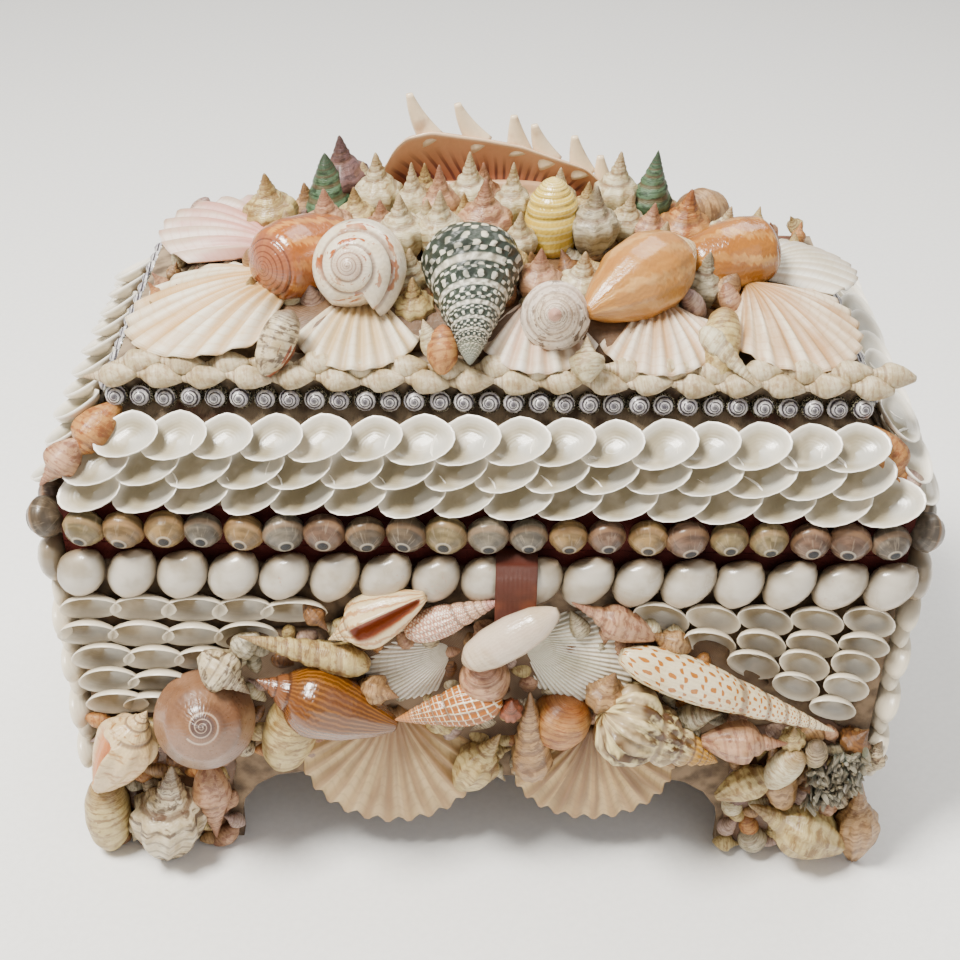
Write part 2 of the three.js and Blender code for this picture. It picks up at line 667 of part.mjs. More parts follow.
// Shells round each leg, as the front legs show them and the back legs repeat
const footShells = {
  front_left: [
    { kind: 'spire', from: [3, 10, 47], to: [0, 9, 2], wide: 20, sides: 6 },
    { kind: 'small', from: [36, 16, 62], to: [27, 12, 0], wide: 33, sides: 6, knobs: 0.08 },
    { kind: 'spire', from: [51, 10, 12], to: [51, 9, 55], wide: 17, sides: 6 },
  ],
  front_right: [
    { kind: 'small', from: [51, 12, 40], to: [5, 12, 13], wide: 26, sides: 6, knobs: 0.08 },
    { kind: 'small', from: [1, 8, 52], to: [-3, 8, 0], wide: 20, sides: 6 },
    { kind: 'spire', from: [46, 10, 82], to: [35, 12, 38], wide: 16, sides: 6 },
    { kind: 'small', from: [29, 13, 44], to: [1, 11, 72], wide: 27, sides: 6 },
  ],
}
const footPlate = 5
const footTop = 84
const backFootTop = 46
const backFootShells = [
  { kind: 'small', from: [21, 11, 42], to: [25, 11, 3], wide: 22, sides: 5 },
  { kind: 'small', from: [49, 9, 5], to: [47, 9, 42], wide: 17, sides: 4 },
]

function footBed(sideX, sideY, top) {
  const x = sideX * (boxWidth - legWidth) / 2
  const y = sideY * (boxDepth + footPlate) / 2
  return boxBody(legWidth - 2, footPlate, 2, top, x, y)
}

const placedShells = (shells, place) => shells.map((shell) => snailBody(laid(shell, place)))

const whelkLength = boxWidth - 2 * lidSetback + 2 * whelkDepth
const whelkRow = beadRow(
  whelkLength, Math.round(whelkLength / whelkPitch), whelkHeight, whelkDepth, slopeTop + buttonHeight + 3 * fitGap)

for (const [name, finish, shape] of roofShells) addShells(name, [snailBody(laid(shape, onRoof))], finish)
addShells('pull_tab', [tabBody], copperSatin)
for (const [name, finish, shape] of frontShells) addShells(name, [snailBody(laid(shape, onFront))], finish)
const roofBodies = placedShells([...smallRoofShells, roundRoofShell], onRoof)
addShells('small_roof_shells', [roofBed(), ...roofBodies], creamShell)
addShells('back_scallops', backScallops(), creamShell)
addShells('spider_conch', conchBodies, pinkShell)
const edgeBodies = placedShells(edgeShells, onRoof)
addShells('whelk_row_front', [onWall(whelkRow, walls[0], lidSetback), ...edgeBodies], creamShell)
for (const [name, shape] of roofScallops) addShells(name, [fanBody(laid(shape, onRoof))], whiteShell)
for (const [name, shape] of arkShells) addShells(name, [fanBody(laid(shape, onFront))], whiteShell)
for (const [name, shape] of apronScallops) addShells(name, [fanBody(laid(shape, onFront))], creamShell)
addShells('small_front_shells', [frontBed, ...placedShells(smallFrontShells, onFront)], creamShell)
for (const [hand, sideX] of [['left', -1], ['right', 1]]) {
  const front = placedShells(footShells[`front_${hand}`], onFoot(sideX, -1))
  const back = placedShells(backFootShells, onFoot(sideX, 1))
  addShells(`foot_shells_front_${hand}`, [footBed(sideX, -1, footTop), ...front], creamShell)
  addShells(`foot_shells_back_${hand}`, [footBed(sideX, 1, backFootTop), ...back], creamShell)
}
addRow('rim_snails', brownShell, {
  pitch: snailPitch, height: snailHeight, depth: snailDepth, low: lidBottom + snailLift,
})
addRow('egg_cowries', whiteShell, {
  pitch: cowriePitch, height: cowrieHeight, depth: cowrieDepth, low: baseHeight - cowrieDrop - cowrieHeight,
})
addRow('button_tops', silverShell, {
  pitch: buttonPitch, height: buttonHeight, depth: buttonDepth, low: slopeTop + fitGap, inset: lidSetback,
})
addLidClams()
addBaseClams()

// The origin is at the bottom centre of the whole
const bounds = new THREE.Box3().setFromObject(group)
group.position.set(-(bounds.min.x + bounds.max.x) / 2, -(bounds.min.y + bounds.max.y) / 2, -bounds.min.z)

export default group
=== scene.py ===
import math
import bpy
import numpy as np
from mathutils import Matrix, Vector


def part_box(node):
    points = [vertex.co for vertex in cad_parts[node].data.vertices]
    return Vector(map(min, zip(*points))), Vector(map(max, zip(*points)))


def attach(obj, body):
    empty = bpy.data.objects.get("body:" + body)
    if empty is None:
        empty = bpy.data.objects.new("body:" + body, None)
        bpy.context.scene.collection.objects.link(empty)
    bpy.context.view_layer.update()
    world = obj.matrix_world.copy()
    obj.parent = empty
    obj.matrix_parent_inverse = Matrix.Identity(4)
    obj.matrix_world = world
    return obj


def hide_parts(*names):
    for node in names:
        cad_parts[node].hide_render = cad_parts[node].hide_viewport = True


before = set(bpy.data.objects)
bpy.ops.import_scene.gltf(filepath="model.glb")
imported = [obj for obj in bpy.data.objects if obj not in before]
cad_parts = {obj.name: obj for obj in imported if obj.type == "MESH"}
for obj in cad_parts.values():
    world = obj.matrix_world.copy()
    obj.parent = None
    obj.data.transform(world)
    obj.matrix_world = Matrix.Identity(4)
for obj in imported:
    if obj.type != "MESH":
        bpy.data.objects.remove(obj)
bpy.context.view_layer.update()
print("frame loaded")

# Shapes are worked out in millimetres, with the front wall of the carcase at -100, and are shifted into place
# at the end
caseLow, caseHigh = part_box("base_carcase")
caseMiddle = np.array([(caseLow.x + caseHigh.x) / 2, caseLow.y + 0.1, caseLow.z])
halfWidth = (caseHigh.x - caseLow.x) * 500
halfDepth = (caseHigh.y - caseLow.y) * 500
middleY = halfDepth - 100
dice = np.random.default_rng(7)

# The photograph's camera, in the same millimetres
cameraView = {
    "eye": (-5.0, -598.0, 556.9),
    "right": (0.9998, 0.0081, 0.0168),
    "up": (-0.0184, 0.5708, 0.8209),
    "lens": 56.64,
    "sensor": 36.0,
}


def unit(v):
    v = np.asarray(v, float)
    return v / np.linalg.norm(v)


def placed(points):
    return np.asarray(points, float) * 0.001 + caseMiddle


def makeCamera():
    data = bpy.data.cameras.new("camera")
    data.lens = cameraView["lens"]
    data.sensor_width = cameraView["sensor"]
    data.clip_start, data.clip_end = 0.01, 20
    right, up = unit(cameraView["right"]), unit(cameraView["up"])
    back = unit(np.cross(right, up))
    up = np.cross(back, right)
    camera = bpy.data.objects.new("camera", data)
    turn = Matrix(np.column_stack([right, up, back]).tolist()).to_4x4()
    camera.matrix_world = Matrix.Translation(Vector(placed(cameraView["eye"]).tolist())) @ turn
    bpy.context.scene.collection.objects.link(camera)
    bpy.context.scene.camera = camera


makeCamera()
print("camera ready")


# Colours are given as sRGB codes and used as linear values
def tint(code, alpha=1.0):
    parts = np.array([int(code[i:i + 2], 16) for i in (0, 2, 4)]) / 255
    linear = np.where(parts <= 0.04045, parts / 12.92, ((parts + 0.055) / 1.055) ** 2.4)
    return (*[float(v) for v in linear], alpha)


# A shader socket that can stand in sums
class Wire:
    def __init__(self, look, socket):
        self.look, self.socket = look, socket

    def maths(self, operation, other=0.0, swapped=False):
        first, second = (other, self) if swapped else (self, other)
        return self.look.node("Math", {"operation": operation}, {0: first, 1: second})

    def __add__(self, other):
        return self.maths("ADD", other)

    def __sub__(self, other):
        return self.maths("SUBTRACT", other)

    def __rsub__(self, other):
        return self.maths("SUBTRACT", other, swapped=True)

    def __mul__(self, other):
        return self.maths("MULTIPLY", other)

    __radd__ = __add__
    __rmul__ = __mul__

    def wave(self, count=1.0):
        return (self * (2 * math.pi * count)).maths("COSINE")

    def ease(self, low, high):
        return self.look.node("MapRange", {"interpolation_type": "SMOOTHSTEP"}, {0: self, 1: low, 2: high})


# A material whose nodes come from one method
class Look:
    def __init__(self, name, finish):
        self.material = bpy.data.materials.new(name)
        self.material.use_nodes = True
        self.tree = self.material.node_tree
        self.shader = self.tree.nodes["Principled BSDF"]
        for socket, value in finish.items():
            self.shader.inputs[socket].default_value = value

    def node(self, kind, settings=None, inputs=None, output=0):
        made = self.tree.nodes.new("ShaderNode" + kind)
        for key, value in (settings or {}).items():
            setattr(made, key, value)
        for key, value in (inputs or {}).items():
            if isinstance(value, Wire):
                self.tree.links.new(value.socket, made.inputs[key])
            else:
                made.inputs[key].default_value = value
        return Wire(self, made.outputs[output])

    def mix(self, factor, first, second):
        return self.node("Mix", {"data_type": "RGBA"}, {0: factor, 6: first, 7: second}, 2)

    def shade(self, colour, amount):
        return self.node("VectorMath", {"operation": "SCALE"}, {0: colour, "Scale": amount})

    # Darkens a colour towards a multiple of itself, for random tone and for painted shade
    def darkenBy(self, colour, amount, by=(0.55, 0.45, 0.28)):
        dark = self.node("VectorMath", {"operation": "MULTIPLY"}, {0: colour, 1: by})
        return self.mix(amount, colour, dark)

    def place(self):
        return self.node("TexCoord", output=3)

    def layer(self, name):
        uv = self.node("UVMap", {"uv_map": name})
        return [self.node("SeparateXYZ", None, {0: uv}, i) for i in range(2)]

    def mark(self, name, output=0):
        return self.node("Attribute", {"attribute_name": name}, None, output)

    def noise(self, scale, detail=2.0, where=None, roughness=0.5):
        values = {"Vector": where or self.place(), "Scale": scale, "Detail": detail, "Roughness": roughness}
        return self.node("TexNoise", None, values)

    def point(self, x, y, z=0.0):
        return self.node("CombineXYZ", None, {0: x, 1: y, 2: z})

    def done(self, colour, rough=None, height=None, depth=0.0002, strength=0.6):
        self.tree.links.new(colour.socket, self.shader.inputs["Base Color"])
        if rough is not None:
            self.tree.links.new(rough.socket, self.shader.inputs["Roughness"])
        if height is not None:
            bump = self.node("Bump", None, {"Strength": strength, "Distance": depth, "Height": height})
            self.tree.links.new(bump.socket, self.shader.inputs["Normal"])
        return self.material


# Gathers closed surfaces, each a stack of rings, into the mesh of one piece
class Pile:
    def __init__(self):
        self.points, self.corners, self.sizes, self.lay, self.turn = [], [], [], [], []
        self.tone, self.accent, self.pick = [], [], []
        self.count = 0

    # Rings are rows by columns by three. Each row closes on itself. The ends close to a point at their
    # middle, or are zipped flat from side to side
    def add(self, rings, tone=(1, 1, 1, 0), accent=(1, 1, 1, 0), rows=None, turn=None, zipped=False):
        count, cols = rings.shape[:2]
        along = np.linspace(0, 1, count) if rows is None else rows
        points = rings.reshape(-1, 3)
        if not zipped:
            points = np.vstack([points, rings[0].mean(0), rings[-1].mean(0)])
        r, c = np.meshgrid(np.arange(count - 1), np.arange(cols), indexing="ij")
        after = (c + 1) % cols
        quads = np.stack([r * cols + c, r * cols + after, (r + 1) * cols + after, (r + 1) * cols + c], -1)
        u, v = c / cols, along[r]
        quadLay = np.stack([u, v, u + 1 / cols, v, u + 1 / cols, along[r + 1], u, along[r + 1]], -1)
        turn = np.zeros((count, cols + 1, 2)) if turn is None else turn
        quadTurn = np.concatenate([turn[r, c], turn[r, c + 1], turn[r + 1, c + 1], turn[r + 1, c]], -1)
        blocks = [(quads.reshape(-1, 4), quadLay.reshape(-1, 8), quadTurn.reshape(-1, 8))]
        ends = np.arange(cols)
        nextOne = (ends + 1) % cols
        for row, first in ((0, True), (count - 1, False)):
            start = row * cols
            if zipped:
                half = cols // 2
                i = np.arange(half - 1)
                cap = np.stack([i + 1, i, cols - 1 - i, cols - 2 - i], -1) + start
                lay = np.stack([i / cols + k for k in (1 / cols, 0, 0, 1 / cols)], -1)
                lay = np.stack([lay, np.full_like(lay, along[row])], -1).reshape(-1, 8)
                twist = np.concatenate([turn[row, i + 1], turn[row, i], turn[row, cols - 1 - i],
                                        turn[row, cols - 2 - i]], -1)
            else:
                pole = np.full(cols, count * cols + (0 if first else 1))
                cap = np.stack([ends + start, pole, nextOne + start], -1)
                lay = np.stack([ends / cols, 0 * ends, (ends + 0.5) / cols, 0 * ends, (ends + 1) / cols,
                                0 * ends], -1)
                lay[:, 1::2] = along[row]
                twist = np.concatenate([turn[row, ends], turn[row, ends], turn[row, ends + 1]], -1)
            if not first:
                cap = cap[:, ::-1]
                lay = lay.reshape(len(lay), -1, 2)[:, ::-1].reshape(len(lay), -1)
                twist = twist.reshape(len(twist), -1, 2)[:, ::-1].reshape(len(twist), -1)
            blocks.append((cap, lay, twist))
        fans = [np.stack([f[:, 0], f[:, k], f[:, k + 1]], -1) for f, _,
                _ in blocks for k in range(1, f.shape[1] - 1)]
        corners = points[np.vstack(fans)]
        volume = np.einsum("ij,ij->i", corners[:, 0], np.cross(corners[:, 1], corners[:, 2])).sum()
        for faces, lay, twist in blocks:
            lay, twist = (m.reshape(len(faces), -1, 2) for m in (lay, twist))
            if volume < 0:
                faces, lay, twist = faces[:, ::-1], lay[:, ::-1], twist[:, ::-1]
            self.corners.append((faces + self.count).ravel())
            self.sizes.append(np.full(len(faces), faces.shape[1]))
            self.lay.append(lay.ravel())
            self.turn.append(twist.ravel())
        self.points.append(points)
        self.count += len(points)
        self.tone.append(np.tile(tone, len(points)))
        self.accent.append(np.tile(accent, len(points)))
        self.pick.append(np.full(len(points), dice.random()))

    def make(self, name, material, nodes=(), smooth=True):
        mesh = bpy.data.meshes.new(name)
        points = placed(np.vstack(self.points))
        corners = np.concatenate(self.corners)
        sizes = np.concatenate(self.sizes)
        mesh.vertices.add(len(points))
        mesh.vertices.foreach_set("co", points.ravel())
        mesh.loops.add(len(corners))
        mesh.loops.foreach_set("vertex_index", corners.astype(np.int32))
        mesh.polygons.add(len(sizes))
        starts = np.concatenate([[0], np.cumsum(sizes)[:-1]])
        mesh.polygons.foreach_set("loop_start", starts.astype(np.int32))
        mesh.polygons.foreach_set("use_smooth", np.full(len(sizes), smooth))
        for layer, values in (("lay", self.lay), ("turn", self.turn)):
            mesh.uv_layers.new(name=layer).data.foreach_set("uv", np.concatenate(values).astype(np.float32))
        for mark, values in (("tone", self.tone), ("accent", self.accent)):
            colours = mesh.attributes.new(mark, "FLOAT_COLOR", "POINT")
            colours.data.foreach_set("color", np.concatenate(values).astype(np.float32))
        picks = mesh.attributes.new("pick", "FLOAT", "POINT")
        picks.data.foreach_set("value", np.concatenate(self.pick).astype(np.float32))
        mesh.update(calc_edges=True)
        mesh.validate()
        mesh.materials.append(material)
        piece = bpy.data.objects.new(name, mesh)
        bpy.context.scene.collection.objects.link(piece)
        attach(piece, "root")
        if nodes:
            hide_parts(*nodes)

    # The piece that stands for one node of the frame
    def dress(self, node, material):
        self.make(f"{node}_dressed", material, [node])


# A smooth line through knots: straight stretches averaged over a short window
def softLine(t, knots, window=0.05):
    fine = np.linspace(-0.2, 1.2, 701)
    xs, ys = np.transpose(knots)
    first, last = (ys[1] - ys[0]) / (xs[1] - xs[0]), (ys[-1] - ys[-2]) / (xs[-1] - xs[-2])
    line = np.interp(fine, xs, ys)
    line = np.where(fine < xs[0], ys[0] + (fine - xs[0]) * first, line)
    line = np.where(fine > xs[-1], ys[-1] + (fine - xs[-1]) * last, line)
    kernel = np.hanning(int(window * 1000) + 3)
    return np.interp(t, fine, np.convolve(line, kernel / kernel.sum(), "same"))


def step(x, low, high):
    s = np.clip((x - low) / (high - low), 0, 1)
    return s * s * (3 - 2 * s)


def axesAlong(axis):
    guide = (0, -1, 0) if abs(axis[2]) > 0.8 else (0, 0, 1)
    across = unit(np.cross(axis, guide))
    return across, np.cross(across, axis)


# Sea snails: shares of the length and of half the width from apex to base, the height of the last suture,
# how fast the whorls grow, how far each bulges, and its ribs, spiral cords and knobs
plainForm = dict(knobs=0.0, knobCount=9, ribs=0.0, ribCount=9, cords=0.0, cordCount=6)
forms = {
    "small": dict(
        line=[(0, 0.05), (0.14, 0.22), (0.3, 0.44), (0.37, 0.68), (0.44, 0.92), (0.54, 1), (0.72, 0.86),
              (0.88, 0.54), (1, 0.25)],
        body=0.28, grow=1.48, bulge=0.2, knobs=0.06, ribs=0.05, cords=0.006),
    "spire": dict(
        line=[(0, 0.02), (0.3, 0.46), (0.62, 1), (0.88, 0.7), (1, 0.2)],
        body=0.42, grow=1.38, bulge=0.16, knobs=0.05, knobCount=12, ribs=0.03, ribCount=14, cords=0.02,
        cordCount=4),
    "conch": dict(
        line=[(0, 0.02), (0.08, 0.16), (0.2, 0.48), (0.3, 0.86), (0.38, 0.99), (0.46, 1), (0.66, 0.82),
              (0.88, 0.46), (1, 0.18)],
        body=0.17, grow=1.6, bulge=0.16, knobs=0.05, knobCount=11, cords=0.006, cordCount=9),
    "volute": dict(
        line=[(0, 0.05), (0.05, 0.22), (0.14, 0.5), (0.24, 0.8), (0.4, 1), (0.62, 0.94), (0.86, 0.52),
              (1, 0.16)],
        body=0.15, grow=1.5, bulge=0.12, knobs=0.06, knobCount=14),
    "olive": dict(
        line=[(0, 0.1), (0.02, 0.3), (0.1, 0.72), (0.3, 0.97), (0.55, 1), (0.8, 0.8), (0.95, 0.42),
              (1, 0.2)],
        body=0.06, grow=1.7, bulge=0.1),
    "turban": dict(
        line=[(0, 0.03), (0.1, 0.2), (0.3, 0.46), (0.55, 0.76), (0.78, 1), (0.92, 0.86), (1, 0.35)],
        body=0.42, grow=1.45, bulge=0.13, ribCount=14, cords=0.02, cordCount=5),
    "mitre": dict(
        line=[(0, 0.04), (0.15, 0.32), (0.38, 0.68), (0.62, 0.97), (0.76, 1), (0.9, 0.84), (0.97, 0.55),
              (1, 0.35)],
        body=0.38, grow=1.36, bulge=0.09, knobs=0.03, knobCount=16, ribCount=14, cords=0.008, cordCount=5),
    "auger": dict(
        line=[(0, 0.03), (0.25, 0.4), (0.5, 0.7), (0.8, 1), (0.94, 0.7), (1, 0.3)],
        body=0.62, grow=1.28, bulge=0.13, knobs=0.03, knobCount=18, ribs=0.03, ribCount=18, cords=0.012,
        cordCount=3),
    "bulla": dict(
        line=[(0, 0.06), (0.06, 0.4), (0.25, 0.85), (0.5, 1), (0.78, 0.86), (0.95, 0.45), (1, 0.2)],
        body=0.25, grow=1.5, bulge=0.05),
    "moon": dict(
        line=[(0, 0.06), (0.05, 0.34), (0.2, 0.72), (0.45, 1), (0.72, 0.9), (0.93, 0.48), (1, 0.2)],
        body=0.19, grow=1.95, bulge=0.1),
}


# A turned shell. Its radius follows the line of its form, drawn in along a spiral suture whose height grows
# by a fixed ratio each turn, with knobs and ribs as waves round it and a mouth pressed in beside the lip
def snail(pile, kind, start, end, wide, spin=0.0, rows=26, sides=20, mouth=None, bend=0.0,
          tone=(1, 1, 1, 0), accent=(1, 1, 1, 0), **changes):
    form = {**plainForm, **forms[kind], **changes}
    start, end = np.asarray(start, float), np.asarray(end, float)
    axis = end - start
    length = np.linalg.norm(axis)
    axis = axis / length
    across, up = axesAlong(axis)
    t = np.linspace(0, 1, rows) ** 1.3
    way, lap = np.meshgrid(t, np.arange(sides + 1) / sides, indexing="ij")
    phase = np.log(np.maximum(way, 0.004) / form["body"]) / math.log(form["grow"]) + lap
    share = np.where(phase < 1, phase - np.floor(phase), np.minimum(phase - 1, 0.5))
    hump = np.sin(math.pi * share) ** 0.55
    fade = np.clip(way / 0.06, 0, 1)
    radius = softLine(way, form["line"]) * np.sqrt(np.clip(way / 0.015, 0.2, 1))
    radius = radius * (1 + form["bulge"] * (hump - 0.85) * fade)
    shoulder = np.exp(-((share - 0.42) / 0.2) ** 2) * fade
    angle = 2 * math.pi * lap
    radius = radius * (1 + form["knobs"] * shoulder * np.cos(form["knobCount"] * angle))
    radius = radius * (1 + form["ribs"] * hump * fade * np.cos(form["ribCount"] * angle))
    radius = radius * (1 + form["cords"] * fade * np.cos(2 * math.pi * form["cordCount"] * phase))
    opening = np.zeros_like(way)
    if mouth:
        low, high, depth, reach, flare = mouth
        window = step(way, low, low + 0.12) * (1 - step(way, high - 0.06, high))
        before = (1 - lap) * 360
        opening = np.where(before < reach, 1 - (before / reach) ** 2, 0) * window * (before > 0)
        lipReach = 50
        lip = np.where(lap * 360 < lipReach, (1 - lap * 360 / lipReach) ** 2, 0) * window
        radius = radius * (1 - depth * opening) * (1 + flare * lip)
    turning = angle + math.radians(spin)
    curve = bend * length * np.maximum(way - 0.55, 0) ** 2
    points = start + (axis * length) * way[..., None]
    points = points + across * (np.cos(turning) * radius * wide / 2)[..., None]
    points = points + up * (np.sin(turning) * radius * wide / 2 + curve)[..., None]
    turn = np.stack([phase, opening], -1)
    pile.add(points[:, :-1], tone, accent, rows=t, turn=turn)


# A thin dish: rings from the middle of its back over the rim to the middle of its hollow, egg-shaped towards
# its hinge
def dish(pile, middle, normal, upward, size, depth, lean, hinge):
    sides, hingeAngle = 20, 1.25
    normal = unit(normal)
    upward = unit(np.asarray(upward, float) - np.dot(upward, normal) * normal)
    side = np.cross(upward, normal)
    c, s = math.cos(math.radians(lean)), math.sin(math.radians(lean))
    side, upward = side * c + upward * s, upward * c - side * s
    share = np.array([0.5, 0.9, 1.0, 0.975, 0.9, 0.72, 0.48, 0.2])
    lift = np.array([-0.12, 0.5, 0.95, 1.0, 0.74, 0.4, 0.18, 0.08])
    a = 2 * math.pi * np.arange(sides) / sides
    peak = np.exp(-((np.angle(np.exp(1j * (a - hingeAngle))) / 0.42) ** 2))
    x = np.cos(a) * (1 - 0.1 * np.sin(a)) * size[0] / 2
    y = (np.sin(a) + hinge * peak) * size[1] / 2
    rings = middle + share[:, None, None] * (x[:, None] * side + y[:, None] * upward)
    rings = rings + (lift * depth)[:, None, None] * normal
    pile.add(rings, rows=np.array([0, 0.2, 0.42, 0.5, 0.6, 0.72, 0.85, 1]))


# A ribbed fan. Each ring is the section at one distance from the hinge, out along its top and back along its
# underside. Its height is a dome over the length and the width, with ribs as a wave across it
def fan(pile, hinge, rim, wide, ribs, dome, tone, accent, facing=(0, 0, 1), ribDepth=1.1, rows=22):
    openAngle, samplesPerRib = 62, 5
    start, end = np.asarray(hinge, float), np.asarray(rim, float)
    along = unit(end - start)
    length = np.linalg.norm(end - start)
    across = unit(np.cross(facing, along))
    up = np.cross(along, across)
    reach = math.radians(openAngle)
    widest = math.cos(reach * 0.82) ** 0.6 * math.sin(reach * 0.82) * length
    count = ribs * samplesPerRib + 1
    q, a = np.meshgrid(np.linspace(0.02, 1, rows) ** 0.8, np.linspace(-1, 1, count), indexing="ij")
    wave = np.cos(math.pi * ribs * a)
    edge = length * np.cos(reach * a) ** 0.6 * (1 + 0.012 * wave)
    x = q * edge * np.cos(reach * a)
    y = q * edge * np.sin(reach * a) * wide / 2 / widest
    arch = np.sin(math.pi * np.clip(0.06 + 0.9 * q, 0, 1) ** 0.75) ** 0.8
    flank = np.cos(math.pi / 2 * np.clip(np.abs(a), 0, 1) ** 1.5) ** 0.7
    height = dome * arch * flank + ribDepth * wave * np.clip(q * 1.5, 0, 1)
    thick = 1.2 * np.clip(1.2 - q, 0.5, 1)

    def lay(h):
        return start + along * x[..., None] + across * y[..., None] + up * h[..., None]

    rings = np.concatenate([lay(height), lay(height - thick)[:, ::-1]], 1)
    turn = np.concatenate([np.stack([a, q], -1), np.stack([a, q], -1)[:, ::-1]], 1)
    turn = np.concatenate([turn, turn[:, :1]], 1)
    pile.add(rings, tone, accent, turn=turn, zipped=True, rows=np.linspace(0, 1, rows))


# A tapering horn along a bent line of three points
def horn(pile, a, b, c, wide, tip=0.3, flat=0.7, rows=10, sides=10, **marks):
    a, b, c = (np.asarray(p, float) for p in (a, b, c))
    t = np.linspace(0, 1, rows)[:, None, None]
    middle = a * (1 - t) ** 2 + 2 * b * t * (1 - t) + c * t ** 2
    tangent = 2 * (b - a) * (1 - t) + 2 * (c - b) * t
    tangent = tangent / np.linalg.norm(tangent, axis=-1, keepdims=True)
    across = np.cross(tangent, (0, 1, 0))
    across = across / np.linalg.norm(across, axis=-1, keepdims=True)
    around = (2 * math.pi * np.arange(sides) / sides)[None, :, None]
    radius = (wide / 2) * (1 - t) + tip * t
    deep = np.array([0, 1, 0]) * flat
    pile.add(middle + radius * (np.cos(around) * across + np.sin(around) * deep), **marks)


# A low mound of glue: rounded rectangles that shrink upwards, with a gentle swell
def mound(pile, middle, size, low, high, tone, facing=None):
    rows, sides = 7, 48
    a = 2 * math.pi * np.arange(sides) / sides
    c, s = np.cos(a), np.sin(a)
    round4 = (np.abs(c) ** 4 + np.abs(s) ** 4) ** 0.25
    t = np.linspace(0, 1, rows)[:, None]
    swell = 1 + 0.04 * np.sin(5 * a + 1) + 0.03 * np.sin(11 * a)
    shrink = np.sqrt(1 - 0.97 * t ** 2.2) * swell
    x, y = c / round4 * size[0] / 2 * shrink, s / round4 * size[1] / 2 * shrink
    z = low + (high - low) * np.sin(t * math.pi / 2) + 0 * x
    rings = np.stack([x, y, z], -1)
    if facing == "front":
        rings = np.stack([rings[..., 0], -rings[..., 2], rings[..., 1]], -1)
    pile.add(rings + np.asarray(middle, float), tone)


# The four walls of the box: turn about Z, distance of the face and length
walls = {
    "front": (0, halfDepth, 2 * halfWidth),
    "right": (math.pi / 2, halfWidth, 2 * halfDepth),
    "back": (math.pi, halfDepth, 2 * halfWidth),
    "left": (-math.pi / 2, halfWidth, 2 * halfDepth),
}


# Points and directions that are given for the front wall, turned to another wall
def turned(vector, side):
    angle = walls[side][0]
    x, y, z = vector
    c, s = math.cos(angle), math.sin(angle)
    return np.stack([x * c - y * s, x * s + y * c, z], -1)


def onWall(x, out, z, side, face=None):
    face = walls[side][1] if face is None else face
    return turned((x, -face - out, z), side) + np.array([0, middleY, 0])


def growthLines(look, along, around, count):
    wobble = look.noise(3.0, 2.0, look.point(around * 9.0, along * 5.0))
    return (along * count + wobble * 2.0).wave()


# The look of all small shells. Each shell's own colour and the colour of its pattern are kept on its points
def mixedLook(name):
    spots, turns = 9.0, 3.0
    look = Look(name, {"Coat Weight": 0.15, "Coat Roughness": 0.25})
    around, along = look.layer("lay")
    phase, mouth = look.layer("turn")
    tone, accent = look.mark("tone"), look.mark("accent")
    amount = look.mark("accent", 3)
    pick = look.mark("pick", 2)
    where = look.point(around * spots, phase * turns, pick * 40.0)
    flames = look.noise(1.0, 3.0, where, 0.6).ease(0.5, 0.62) * amount
    bands = (phase + pick).wave(2.0).ease(0.55, 0.9) * amount * 0.55
    colour = look.mix(flames, tone, accent)
    colour = look.mix(bands, colour, accent)
    mottle = look.noise(260.0, 3.0)
    # Painted shade: the grooves along the sutures are darkened brown
    edge = phase.wave().ease(0.2, 1.0) * (1 - phase.ease(1.1, 1.3))
    colour = look.mix(edge * 0.5, colour, tint("7a5440"))
    colour = look.mix(mouth * 0.7, colour, tint("b4663c"))
    tip = 1 - along.ease(0.06, 0.3)
    colour = look.mix(tip * amount * 0.8, colour, accent)
    # Random dark brown blotches
    darkBlotches = look.noise(110.0, 4.0, None, 0.65).ease(0.42, 0.66)
    colour = look.darkenBy(colour, darkBlotches * 0.7)
    colour = look.darkenBy(colour, mottle.ease(0.3, 0.7) * 0.4 + 0.5, (0.66, 0.62, 0.47))
    lines = growthLines(look, along, around, 60.0) * 0.15 + look.noise(900.0, 2.0)
    return look.done(colour, rough=0.5 - pick * 0.25 + mottle * 0.15, height=lines, depth=0.0004)


# Small clams: the rim, the hollow and the back differ; the hollow's darkening is partly painted shade
def pearlLook(name, rim, inner, deep, coat):
    look = Look(name, {"Coat Weight": coat, "Coat Roughness": 0.12, "Specular IOR Level": 0.5})
    around, along = look.layer("lay")
    cloud = look.noise(90.0, 2.0)
    fine = look.noise(600.0, 3.0)
    pick = look.mark("pick", 2)
    # The hollow darkens from the rim inwards, partly its own grey and partly painted shade
    hollow = along.ease(0.47, 0.8)
    colour = look.mix(hollow, tint(rim), look.mix(pick, tint(inner), tint(deep)))
    # Painted highlight on one side of the hollow and painted shadow on the other
    litAndShadedSide = (around + 0.1).wave() * along.ease(0.55, 0.8)
    colour = look.mix(litAndShadedSide.ease(0.1, 1.0) * 0.4, colour, tint("e6e8e6"))
    colour = look.mix((litAndShadedSide * -1).ease(0.2, 1.0) * 0.4, colour, tint(deep))
    colour = look.mix(cloud.ease(0.45, 0.7) * 0.3, colour, tint("e9dcc6"))
    back = 1 - along.ease(0.3, 0.42)
    colour = look.mix(back * 0.6, colour, tint("cdbfa6"))
    colour = look.shade(colour, 0.9 + fine * 0.1)
    rings = (along.wave(16.0) * 0.25) + fine * 0.4
    return look.done(colour, rough=0.22 + cloud * 0.22, height=rings, depth=0.0002, strength=0.3)


